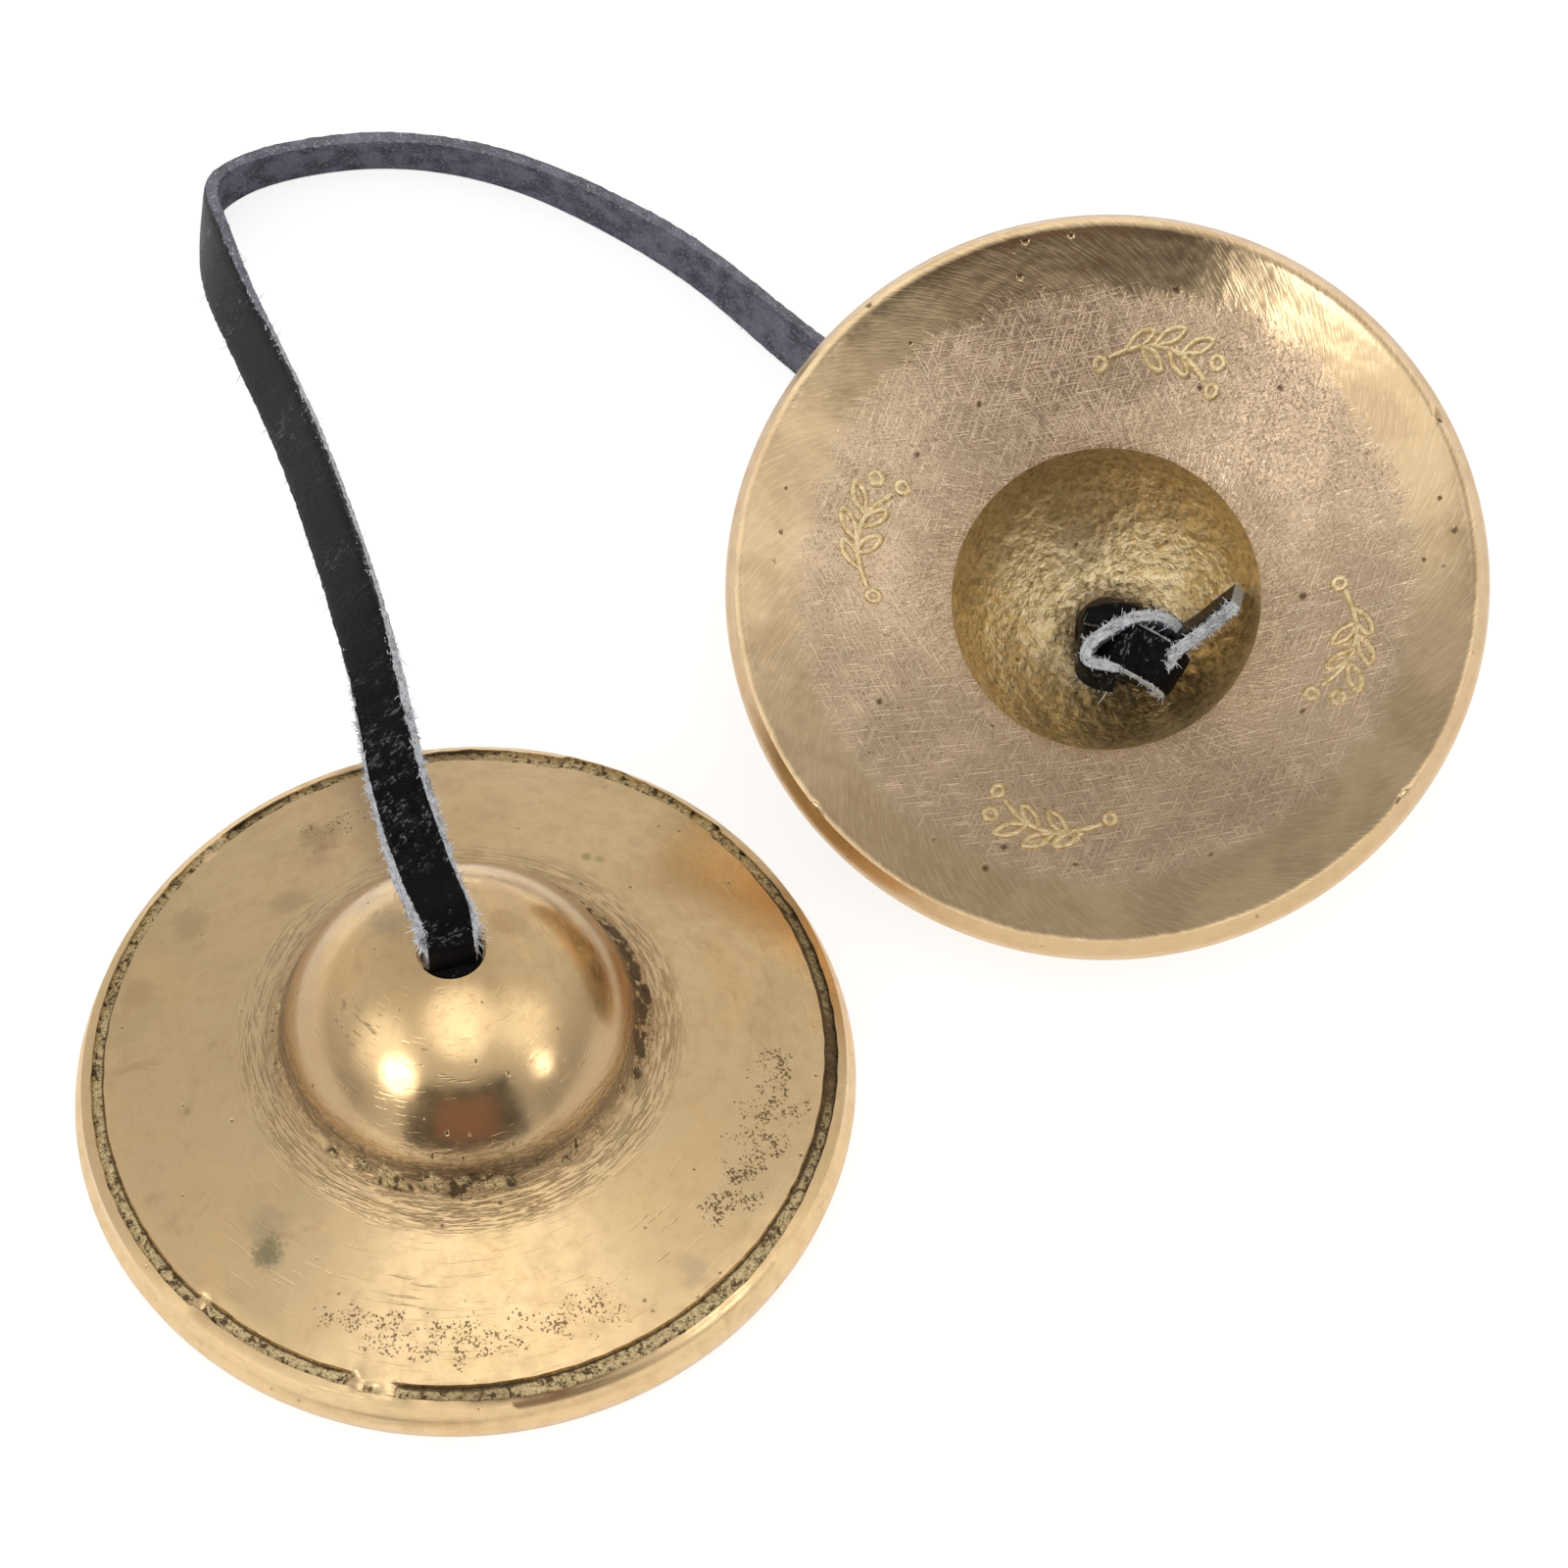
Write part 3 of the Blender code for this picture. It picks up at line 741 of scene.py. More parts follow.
# %% Cast brass, the hollow of the dome
def hollow_brass():
    material, tree, shader = new_material("hollow_brass", {"Metallic": 1.0})
    place = attribute_of(tree, "own_mm")
    lumps = place.noise(1.5, 4.0, 0.6, 0.3)
    grains = place.noise(3.6, 3.0, 0.6)
    clouds = tarnished(place, scale=0.14, low=0.42, high=0.68)
    specks = pinholed(place, scale=1.1, size=0.22, share=0.18)
    reach = place.radius() + (lumps - 0.5) * 4.0
    colour = layered(
        HOLLOW_GOLD,
        (lumps.step(0.36, 0.56), HOLLOW_LIGHT),
        (clouds * 0.25, HOLLOW_BROWN),
        (specks * 0.7, CAST_AND_SHADE_DARK),
        # Painted shade and dirt round the hole, where the knot sits against it
        (reach.step(5.2, 3.2, 0.0, 0.8), CAST_AND_SHADE_DARK),
    )
    bold = place.noise(0.13, 2.0).step(0.36, 0.56).step(0.0, 1.0, 0.32, 0.13)
    finish_shader(shader, colour, grains.step(0.3, 0.7, 0.52, 0.36), lumps * bold + grains * 0.03)
    return material


brass = [polished_brass(), striking_brass(), hollow_brass()]
POLISHED, STRIKING, HOLLOW = range(3)
print("brass finishes:", [material.name for material in brass])

# %% [markdown]
# ## Leather finishes
# The strap is dyed black on the grain side only. The cut edges and the suede side show pale grey
# fibre. One material does all three: the skin value says which side a point is on, and noise
# makes the border between black grain and pale fibre ragged.

# %% Strap leather
GRAIN_BLACK = (0.004, 0.004, 0.005, 1.0)
# A light grey for painted glints on the ridges of the grain's wrinkles
GRAIN_GLINT = (0.13, 0.13, 0.145, 1.0)
FIBRE_PALE = (0.84, 0.87, 0.91, 1.0)
FIBRE_GREY = (0.22, 0.23, 0.27, 1.0)
SUEDE_DARK = (0.085, 0.085, 0.115, 1.0)
SUEDE_GREY = (0.20, 0.20, 0.26, 1.0)
SUEDE_PALE = (0.42, 0.43, 0.50, 1.0)
FIBRE_TIP = (0.82, 0.84, 0.90, 1.0)
RIM_FROM = 1.9
RIM_TO = 2.5
CREASE_AT = 17.5
MOUTH_AT = 4.5


# Thin raised lines where the noise crosses its middle value
def wrinkles(place, sizes, scale, width):
    return abs(place.scaled(sizes).noise(scale, 2.0, 0.5, 0.2) - 0.5).step(width, 0.0)


def strap_leather():
    sockets = {"IOR": 1.3, "Specular IOR Level": 0.2, "Coat Roughness": 0.25}
    material, tree, shader = new_material("strap_leather", sockets)
    flat = attribute_of(tree, "strip_mm")
    skin = attribute_of(tree, "skin", "Fac")
    along, side, _ = flat.parts()
    fine = flat.noise(3.5, 3.0, 0.65)
    coarse = flat.noise(1.1, 2.0, 0.5)
    drawn = flat.scaled((0.8, 3.0, 3.0)).noise(2.2, 3.0, 0.75)
    flecks = flat.noise(3.0, 4.0, 0.75).step(0.5, 0.64)
    patches = flat.noise(0.5, 3.0).step(0.35, 0.65)

    across = wrinkles(flat.turned(0.35), (1.0, 0.28, 1.0), 2.5, 0.055)
    pebble = wrinkles(flat, (1.0, 0.8, 1.0), 3.0, 0.06)
    zones = highest(
        flat.scaled((1.0, 0.0, 0.0)).noise(0.13, 2.0).step(0.42, 0.62, 0.0, 0.6),
        abs(along - CREASE_AT).step(8.0, 5.0),
        abs(along - MOUTH_AT).step(2.2, 1.2),
    )
    creased = (across * 0.8 + pebble * 0.3) * (zones + 0.06)
    # The creased ridges get painted glints in their colour, and a real coat of gloss from the same mask
    worn = (creased * flat.noise(0.9, 3.0, 0.6).step(0.42, 0.62)).step(0.12, 0.75)

    dyed_over = along.step(26.0, 44.0) * along.step(92.0, 78.0) * 0.85
    tear = abs(side).step(RIM_FROM, RIM_TO) * (fine + coarse - 1.0)
    is_grain = (skin + dyed_over + tear * 0.5).step(0.84, 0.94)
    is_suede = (skin + (fine - 0.5) * 0.5).step(-0.8, -0.97)

    suede = layered(SUEDE_DARK, (patches, SUEDE_GREY), (flecks * 0.8, SUEDE_PALE))
    colour = layered(
        FIBRE_GREY,
        (drawn.step(0.32, 0.6), FIBRE_PALE),
        (along.step(70.0, 92.0) * 0.85, suede),
        # black grain with painted glints on its wrinkles
        (is_grain, layered(GRAIN_BLACK, (worn, GRAIN_GLINT))),
        (is_suede, suede),
    )
    (worn * is_grain * 0.6).into(shader.inputs["Coat Weight"])
    roughness = is_grain.step(0.0, 1.0, 0.85, 0.3) + fine * 0.12
    grain_height = creased * 0.16 + fine * 0.03
    fibre_height = drawn * 0.2 + flecks * 0.05
    height = fibre_height + is_grain * (grain_height - fibre_height)
    finish_shader(shader, colour, roughness, height)
    return material


# %% Loose fibres
def fibre_leather():
    material, tree, shader = new_material("fibre_leather", {"Sheen Weight": 0.25})
    shade = output_of(tree, "TexCoord", "Object").noise(900.0, 2.0)
    colour = layered(FIBRE_GREY, (shade.step(0.3, 0.55), FIBRE_TIP))
    finish_shader(shader, colour, shade * 0.15 + 0.8, shade * 0.01)
    return material


leather = strap_leather()
fibre = fibre_leather()

# %% [markdown]
# ## The strap
# The strip is cut, bent along the line, and drawn in where it cups itself to pass the holes. Its
# edges slope, so that the black face is narrower than the suede side, most of all by the left
# hole. It rides on the strap's body, so it swings about both holes as one springy piece.

# %% Strap
STRIP_STEP = 0.28 * MM
STRIP_WIDTH = 5.1 * MM
HIDDEN_RUN = 2.4 * MM
MOUTH_WIDTH = 4.7 * MM
SLOPED_RUN = 34.0 * MM
DEEP_SLOPE = 0.52 * MM
PLAIN_SLOPE = 0.12 * MM
STRETCHED_RUN = (8.0 * MM, 26.0 * MM, 84.0 * MM, 100.0 * MM)
STRETCHED = 0.88


# 0 at or before the start, 1 at or after the end, and even between
def ramp(value, start, end):
    return min(max((value - start) / (end - start), 0.0), 1.0)


# The strip is pulled a little narrower where it hangs free
def stretch(along):
    start, full, end_full, end = STRETCHED_RUN
    return 1.0 - (1.0 - STRETCHED) * min(ramp(along, start, full), ramp(along, end, end_full))


def strap_width(along):
    near = min(along, strap_length - along)
    share = ramp(near - CUPPED_RUN, 0.0, WIDENING_RUN)
    eased = share * share * (3.0 - 2.0 * share)
    return (MOUTH_WIDTH + (STRAP_WIDTH - MOUTH_WIDTH) * eased) / STRAP_WIDTH * stretch(along)


def edge_slope(along):
    return DEEP_SLOPE + (PLAIN_SLOPE - DEEP_SLOPE) * ramp(along / SLOPED_RUN, 0.6, 1.0)


# Both ends go into the holes and are painted black there, as painted shade
strip = cut_strip(strap_length + HIDDEN_RUN, STRIP_WIDTH, STRIP_STEP, 10, True)
bmesh.ops.translate(strip, vec=(-HIDDEN_RUN, 0.0, 0.0), verts=strip.verts)
fray_strip(strip, STRIP_WIDTH, EDGE_FRAY, 3.7, edge_slope)
bend_strip(strip, strap_table, strap_width)
for corner in strip.verts:
    corner.co.z = max(corner.co.z, 0.02 * MM)
strap = finish_piece("strap_leather", strip, [leather], "strap")
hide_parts("strap")

# %% [markdown]
# ## Frayed fibres
# The edges were cut with a knife and have frayed. Each fibre is a short curled thread that stands
# out of the cut edge. It is drawn as a line of four points that thins towards its end, its lean,
# curl and length come from a seeded generator, and the ends of the strap, which rub on the brass,
# get more and longer ones. All the lines are given a round section and made into one mesh.

# %% Fibres
FIBRE_THICKNESS = 0.055 * MM
FIBRE_POINTS = 4
FIBRE_FLOOR = 0.04 * MM


# Turns drawn curves into a mesh and clears them away
def mesh_of(data):
    holder = bpy.data.objects.new(data.name, data)
    bm = bmesh.new()
    bm.from_mesh(holder.to_mesh())
    holder.to_mesh_clear()
    bpy.data.objects.remove(holder)
    bpy.data.curves.remove(data)
    return bm


def new_curve(name, thickness, resolution):
    data = bpy.data.curves.new(name, "CURVE")
    data.dimensions = "3D"
    data.bevel_depth = thickness
    data.bevel_resolution = resolution
    data.use_fill_caps = True
    return data


class Fringe:
    def __init__(self, seed):
        self.draw = np.random.default_rng(seed)
        self.wisps = []

    # Fibres along both edges of a strip
    def along_edges(self, table, half_width, slope, start, end, count, longest, lift, lean):
        draw = self.draw
        for _ in range(count):
            along = draw.uniform(start, end)
            centre, across, grain = place_on(table, along)
            side = draw.choice((-1.0, 1.0))
            up = draw.uniform(-0.5, 0.42)
            ahead = grain.cross(across)
            reach = half_width(along) - slope * (0.5 + up) - 0.06 * MM
            root = centre + across * (side * reach) + grain * (up * STRAP_THICKNESS)
            way = across * side + ahead * draw.uniform(-lean, lean)
            way += grain * (draw.uniform(-lean, lean) * 0.6 + lift)
            curl = Vector(draw.uniform(-1.1, 1.1, 3))
            clump = 0.55 + 1.3 * max(0.0, noise.noise(root / (0.7 * MM)) + 0.25)
            length = (0.2 * MM + longest * draw.random() ** 1.6) * clump
            self.wisps.append((root, way.normalized(), curl, length))

    def grow(self, name, body):
        data = new_curve("fibres", FIBRE_THICKNESS, 0)
        for root, way, curl, length in self.wisps:
            line = data.splines.new("POLY")
            line.points.add(FIBRE_POINTS - 1)
            for i, point in enumerate(line.points):
                share = i / (FIBRE_POINTS - 1)
                place = root + way * (length * share) + curl * (length * share * share)
                place.z = max(place.z, FIBRE_THICKNESS + FIBRE_FLOOR)
                point.co = (*place, 1.0)
                point.radius = 1.0 - 0.65 * share
        return finish_piece(name, mesh_of(data), [fibre], body)


def strap_half(along):
    return STRIP_WIDTH / 2.0 * strap_width(along)


# Each run of fibres: slope of the edge, start, end, count, longest, lift and lean
FIBRE_RUNS = (
    (DEEP_SLOPE, 0.0, 2.6 * MM, 1000, 0.42 * MM, -0.1, 2.2),
    (DEEP_SLOPE, 2.0 * MM, 30.0 * MM, 2200, 0.17 * MM, 0.1, 2.6),
    (PLAIN_SLOPE, 30.0 * MM, 95.0 * MM, 420, 0.16 * MM, 0.0, 1.2),
    (PLAIN_SLOPE, 90.0 * MM, strap_length, 560, 0.16 * MM, 0.0, 1.2),
)
fringe = Fringe(11)
for run in FIBRE_RUNS:
    fringe.along_edges(strap_table, strap_half, *run)
strap_fibres = fringe.grow("strap_fibres", "strap")

# %% [markdown]
# ## The cymbals' places
# Both cymbals are made in the same frame of their own, with the striking side down and the axis
# upright, and are then set where the part's joints say. The right one is turned over and leans.

# %% Places
RIGHT_TILT = math.radians(23.7)
RIGHT_HEADING = math.radians(-102.8)
lean_axis = Vector((-math.sin(RIGHT_HEADING), math.cos(RIGHT_HEADING), 0.0))
right_turn = Matrix.Rotation(RIGHT_TILT, 4, lean_axis) @ Matrix.Rotation(math.pi, 4, "X")
left_place = Matrix.Translation(left_foot)
right_place = Matrix.Translation(Vector(joints["right_spin"]["pos_m"])) @ right_turn
right_axis = right_turn @ Vector((0.0, 0.0, 1.0))
print("right axis", [round(v, 4) for v in right_axis], joints["right_spin"]["axis"])

# %% [markdown]
# ## The knots
# Inside each dome the strap is tied in a knot that is drawn up tight against the hole. A tight
# knot in flat lace is a parcel of folded turns, so it is laid up here from a few strips: a core, a
# loop that stands on its edge round the parcel, a turn over it with the grain out, the short free
# tail, and the neck that goes up through the hole. Each strip has a short list of points in
# millimetres in the cymbal's own frame, with the direction that its grain side faces at each.

# %% Strips of the knot
LOOP = (
    (5.9, 1.8, 16.6, 0.5, -0.85, 0.0),
    (4.8, 0.8, 15.6, 0.2, -0.97, 0.0),
    (3.2, 0.6, 14.9, -0.1, -1.0, 0.0),
    (1.4, 1.1, 14.7, -0.4, -0.9, 0.0),
    (-0.5, 2.1, 14.7, -0.55, -0.83, 0.0),
    (-1.8, 3.2, 14.7, -0.9, -0.4, 0.0),
    (-2.2, 4.3, 14.8, -1.0, 0.1, -0.2),
    (-1.7, 5.1, 14.9, -0.7, 0.6, -0.4),
    (-0.7, 5.5, 15.1, -0.2, 0.9, -0.5),
    (0.5, 5.7, 15.4, 0.1, 0.9, -0.5),
)
TURN = (
    (-0.1, 1.9, 16.6, -0.7, -0.5, -0.4),
    (0.5, 2.3, 15.2, -0.6, -0.4, -0.7),
    (1.4, 2.9, 14.3, -0.25, -0.1, -1.0),
    (2.8, 3.8, 13.8, 0.0, 0.05, -1.0),
    (4.2, 4.7, 13.9, 0.3, 0.2, -0.95),
    (5.2, 5.3, 14.7, 0.75, 0.5, -0.5),
    (5.5, 5.5, 16.1, 0.8, 0.55, 0.2),
    (4.8, 5.0, 17.6, 0.4, 0.3, 0.9),
)
TAIL = (
    (4.6, 4.3, 15.7, -0.7, -0.7, -0.40),
    (5.6, 3.1, 15.1, -0.6, -0.75, -0.46),
    (7.4, 2.0, 14.3, -0.5, -0.83, -0.50),
    (9.5, 0.7, 13.2, -0.5, -0.83, -0.52),
    (11.4, -0.5, 12.1, -0.45, -0.85, -0.52),
)
KNOT_CORES = (((2.0, 3.1, 17.2), (5.4, 4.2, 4.6), 34.0), ((0.5, 0.8, 20.2), (5.6, 5.4, 3.4), 0.0))
NECK_FOOT = 17.5
NECK_MIDDLE = 20.2
NECK_HEAD = 22.5
KNOT_STRIP_WIDTH = 4.5 * MM
LOOP_WIDTH = 3.2 * MM
KNOT_STEP = 0.3 * MM
KNOT_SLOPE = 0.3 * MM


def band_table(points):
    curve, length = line_of([[value * MM for value in point[:3]] + list(point[3:]) for point in points])
    table = []
    for i in range(int(length / LINE_STEP) + 2):
        at = min(i * LINE_STEP, length)
        value = curve(at)
        ahead = tangent_at(curve, length, at)
        grain = Vector(value[3:6])
        grain = (grain - ahead * grain.dot(ahead)).normalized()
        table.append((Vector(value[:3]), ahead.cross(grain), grain))
    return table, length


def knot_core(place, centre, size, turn):
    bm = bmesh.new()
    bmesh.ops.create_cube(bm, size=1.0)
    bmesh.ops.subdivide_edges(bm, edges=bm.edges[:], cuts=7, use_grid_fill=True)
    for corner in bm.verts:
        corner.co = corner.co.lerp(corner.co.normalized() * 0.62, 0.55)
    flat, skin = leather_layers(bm)
    bmesh.ops.scale(bm, vec=Vector(size) * MM, verts=bm.verts)
    for corner in bm.verts:
        corner.co += corner.co.normalized() * (0.3 * MM * noise.noise(corner.co / (1.6 * MM)))
        corner[flat] = corner.co / MM
        corner[skin] = 1.0
    set_in = Matrix.Translation(Vector(centre) * MM) @ Matrix.Rotation(math.radians(turn), 4, "Z")
    bmesh.ops.transform(bm, matrix=place @ set_in, verts=bm.verts)
    return bm


def add_to(target, bm):
    mesh = bpy.data.meshes.new("strip")
    bm.to_mesh(mesh)
    bm.free()
    target.from_mesh(mesh)
    bpy.data.meshes.remove(mesh)


# %% Tie both knots
def same_width(along):
    return 1.0


def tail_width(along):
    return 1.0 - 0.12 * min(along / (9.0 * MM), 1.0)


def build_knot(name, body, node, place, bearing, seed):
    knot = bmesh.new()
    for core in KNOT_CORES:
        add_to(knot, knot_core(place, *core))
    fuzz = Fringe(seed)
    facing = (math.sin(bearing), -math.cos(bearing), 0.0)
    neck = [(0.0, 0.0, height, *facing) for height in (NECK_FOOT, NECK_MIDDLE, NECK_HEAD)]
    strips = (
        (LOOP, LOOP_WIDTH, same_width, 1100, 0.32 * MM, False),
        (TURN, KNOT_STRIP_WIDTH, same_width, 420, 0.2 * MM, False),
        (TAIL, KNOT_STRIP_WIDTH, tail_width, 1100, 0.34 * MM, False),
        (neck, NECK_WIDTH, same_width, 0, 0.0, True),
    )
    # The neck's ends are painted black, as painted shade inside the hole
    for points, width, width_at, count, longest, shade_black_ends in strips:
        table, length = band_table(points)
        bm = cut_strip(length, width, KNOT_STEP, 8, shade_black_ends)
        fray_strip(bm, width, EDGE_FRAY, seed, lambda along: KNOT_SLOPE)
        bend_strip(bm, table, width_at, place)
        add_to(knot, bm)
        placed = [(place @ c, place.to_3x3() @ a, place.to_3x3() @ g) for c, a, g in table]
        half = lambda along: width / 2.0 * width_at(along)
        fuzz.along_edges(placed, half, KNOT_SLOPE, 0.0, length, count, longest, 0.0, 3.0)
    piece = finish_piece(name, knot, [leather], body)
    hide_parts(node)
    return piece, fuzz.grow(name + "_fibres", body)


left_bearing = math.atan2(left_across.y, left_across.x)
own_across = right_turn.to_3x3().inverted() @ right_across
right_bearing = math.atan2(own_across.y, own_across.x)
left_knot = build_knot(
    "knot_left_leather", "left_knot", "knot_left", left_place, left_bearing, 21
)
right_knot = build_knot(
    "knot_right_leather", "right_knot", "knot_right", right_place, right_bearing, 34
)

# %% [markdown]
# ## Turning a cymbal
# A cymbal is round, so half of its section is drawn once and spun about the axis. The section is
# walked from the hole over the dome, down the flange, round the rim and back up the inside. Close
# steps are spent where the casting is rough, because there the surface itself is moved by noise.
# Each step also carries the number of its finish.

# %% Section of a cymbal
CYMBAL_RADIUS = 32.5 * MM
WIDEST_HEIGHT = 2.9 * MM
RIM_HEIGHT = 5.7 * MM
EDGE_ROUNDING = 1.7 * MM
LAND_INSET = 1.1 * MM
LAND_WIDTH = 0.5 * MM
BEVEL_WIDTH = 3.5 * MM
BEVEL_RISE = 1.8 * MM
GROOVE_INSET = 1.6 * MM
GROOVE_WIDTH = 1.1 * MM
GROOVE_DEPTH = 0.42 * MM
CROWN_RADIUS = 14.9 * MM
CROWN_WALL = 1.7 * MM
CREASE_ANGLE = math.radians(79.8)
CREASE_HEIGHT = 11.3 * MM
MOUTH_WALL = 2.6 * MM
HOLE_RADIUS = 2.5 * MM
HOLE_LIP = 0.3 * MM
HOLE_FLARE = 0.5 * MM
SPIN_STEPS = 400

CREASE_RADIUS = CROWN_RADIUS * math.sin(CREASE_ANGLE)
CROWN_CENTRE = CREASE_HEIGHT - CROWN_RADIUS * math.cos(CREASE_ANGLE)
INNER_RADIUS = CROWN_RADIUS - CROWN_WALL
GROOVE_OUT = CYMBAL_RADIUS - GROOVE_INSET
GROOVE_IN = GROOVE_OUT - GROOVE_WIDTH
MOUTH_HEIGHT = CREASE_HEIGHT - MOUTH_WALL
MOUTH_RADIUS = INNER_RADIUS + 0.5 * MM
BEVEL_TOP = CYMBAL_RADIUS - LAND_INSET - LAND_WIDTH - BEVEL_WIDTH
FOOT_ANGLE = math.radians(68.5)
FOOT_OUTER = CREASE_RADIUS + 1.35 * MM
FOOT_INNER = CREASE_RADIUS - 0.6 * MM


def flange_height(radius):
    share = (radius - CREASE_RADIUS) / (CYMBAL_RADIUS - EDGE_ROUNDING - CREASE_RADIUS)
    return CREASE_HEIGHT + share * (RIM_HEIGHT - CREASE_HEIGHT)


def dish_height(radius):
    share = (radius - MOUTH_RADIUS) / (BEVEL_TOP - MOUTH_RADIUS)
    return MOUTH_HEIGHT + share * (BEVEL_RISE - MOUTH_HEIGHT)


# Adds straight runs, each to a radius and a height in a number of steps
def straight(section, finish, *runs):
    for radius, height, steps in runs:
        last_radius, last_height, _ = section[-1]
        for step in range(1, steps + 1):
            share = step / steps
            rise = last_height + (height - last_height) * share
            section.append((last_radius + (radius - last_radius) * share, rise, finish))


def arc(section, radius, start, stop, steps, finish):
    for step in range(1, steps + 1):
        angle = start + (stop - start) * step / steps
        section.append((radius * math.sin(angle), CROWN_CENTRE + radius * math.cos(angle), finish))


# The hollow curve from the dome to the flange, pulled towards the corner that they would make
def fillet(section, steps, finish):
    height = CROWN_CENTRE + CROWN_RADIUS * math.cos(FOOT_ANGLE)
    start = Vector((CROWN_RADIUS * math.sin(FOOT_ANGLE), height))
    corner = Vector((CREASE_RADIUS, CREASE_HEIGHT - 0.05 * MM))
    end = Vector((FOOT_OUTER, flange_height(FOOT_OUTER)))
    for step in range(1, steps + 1):
        share = step / steps
        point = start.lerp(corner, share).lerp(corner.lerp(end, share), share)
        section.append((point.x, point.y, finish))


def cymbal_section():
    hole_angle = math.asin((HOLE_RADIUS + HOLE_LIP) / CROWN_RADIUS)
    start = CROWN_CENTRE + CROWN_RADIUS * math.cos(hole_angle)
    section = [
        (HOLE_RADIUS, start - HOLE_LIP, POLISHED),
        (HOLE_RADIUS + 0.1 * MM, start - 0.1 * MM, POLISHED),
        (HOLE_RADIUS + HOLE_LIP, start, POLISHED),
    ]
    arc(section, CROWN_RADIUS, hole_angle, FOOT_ANGLE, 38, POLISHED)
    fillet(section, 12, POLISHED)
    groove_edge = flange_height(GROOVE_OUT)
    straight(
        section, POLISHED,
        (GROOVE_IN - 0.1 * MM, flange_height(GROOVE_IN - 0.1 * MM), 34),
        (GROOVE_IN + 0.04 * MM, flange_height(GROOVE_IN) - GROOVE_DEPTH, 2),
        (GROOVE_OUT - 0.12 * MM, groove_edge - 0.7 * GROOVE_DEPTH, 7),
        (GROOVE_OUT, groove_edge, 2),
        (CYMBAL_RADIUS - 0.75 * MM, groove_edge - 0.42 * MM, 2),
        (CYMBAL_RADIUS - 0.27 * MM, WIDEST_HEIGHT + 1.45 * MM, 2),
        (CYMBAL_RADIUS - 0.18 * MM, WIDEST_HEIGHT + 1.25 * MM, 1),
        (CYMBAL_RADIUS, WIDEST_HEIGHT, 3),
        (CYMBAL_RADIUS - 0.25 * MM, WIDEST_HEIGHT - 1.2 * MM, 2),
        (CYMBAL_RADIUS - LAND_INSET, 0.0, 3),
    )
    straight(
        section, STRIKING,
        (CYMBAL_RADIUS - LAND_INSET - LAND_WIDTH, 0.0, 1),
        (BEVEL_TOP, BEVEL_RISE, 8),
        (MOUTH_RADIUS, MOUTH_HEIGHT, 30),
        (INNER_RADIUS + 0.1 * MM, MOUTH_HEIGHT + 0.25 * MM, 2),
    )
    begin = math.acos((MOUTH_HEIGHT + 0.6 * MM - CROWN_CENTRE) / INNER_RADIUS)
    end = math.asin((HOLE_RADIUS + HOLE_FLARE) / INNER_RADIUS)
    arc(section, INNER_RADIUS, begin, end, 44, HOLLOW)
    return section


# %% [markdown]
# The lathe leaves true rings, but the casting is not perfect: the groove wanders, steps and fills
# up in places, lumps sit round the foot of the dome, the hollow is rough, and the rim has been
# knocked and worn. These are small moves of the turned mesh, with noise read in the cymbal's own
# frame. The same rules say where the cast skin shows, and where dirt and painted shade darken the
# groove's walls and the hollows between the lumps, for the polished finish to read.

# %% Unevenness of the casting
GROOVE_FILLED = ((258.0, 5.0, 0.75), (228.0, 1.2, 0.7), (137.0, 5.0, 0.45))
GROOVE_STEPS = ((227.0, -0.3 * MM), (256.0, 0.25 * MM))
DARK_GROOVE = (
    (15.0, 26.0, 0.55), (350.0, 20.0, 0.45), (100.0, 16.0, 0.5), (272.0, 12.0, 0.45), (128.0, 8.0, 0.4),
)
CAST_FOOT = (
    (22.0, 52.0, 1.0), (262.0, 46.0, 0.9), (185.0, 26.0, 0.6), (320.0, 26.0, 0.5), (120.0, 30.0, 0.2),
)
DARK_FOOT = ((22.0, 50.0, 0.75), (285.0, 34.0, 0.45), (185.0, 22.0, 0.2), (150.0, 40.0, 0.2))
WIDE_GROOVE = ((303.0, 36.0, 1.0), (80.0, 24.0, 0.9))
SHARP_RIM = (310.0, 50.0, 0.6)
NICK_DEPTH = 0.28 * MM
NICK_REACH = 0.9 * MM
GROOVE_ZONE = (28.5 * MM, 31.4 * MM)
TRIM_FROM = 30.0 * MM
TRIM_RUN = 1.4 * MM


def bearing_gap(first, second):
    return abs((first - second + 180.0) % 360.0 - 180.0)


# The sum of a few soft windows, each given by its bearing, its half width and its strength
def windows(bearing, marks):
    total = 0.0
    for at, half, strength in marks:
        total += strength * max(0.0, min(1.0, 2.0 * (1.0 - bearing_gap(bearing, at) / half)))
    return min(total, 1.0)


def rough(place, size, seed=0.0):
    return noise.noise(place / size + Vector((seed, -seed, seed)))


# The groove's own wandering at a bearing, in metres
def groove_shift(bearing):
    shift = 0.12 * MM * math.sin(math.radians(3.0 * bearing + 40.0))
    for at, move in GROOVE_STEPS:
        shift += move / 2.0 if (bearing - at) % 360.0 < 180.0 else -move / 2.0
    return shift


# How much a point near the foot of the dome is lifted, its cast skin, and its dirt and painted shade
def foot_casting(place, reach, bearing):
    presence = windows(bearing, CAST_FOOT)
    cross = math.sin(math.pi * (reach - FOOT_INNER) / (FOOT_OUTER - FOOT_INNER))
    lump = rough(place, 0.6 * MM, 2.0) + 1.1 * rough(place, 1.7 * MM, 4.0)
    cast = cross * (presence + 0.9 * rough(place, 1.3 * MM, 12.0)) * 0.75 - 0.1
    grime_and_shade = cross * (windows(bearing, DARK_FOOT) - lump) * presence * 1.1
    return 0.17 * MM * lump * presence * cross, cast, grime_and_shade
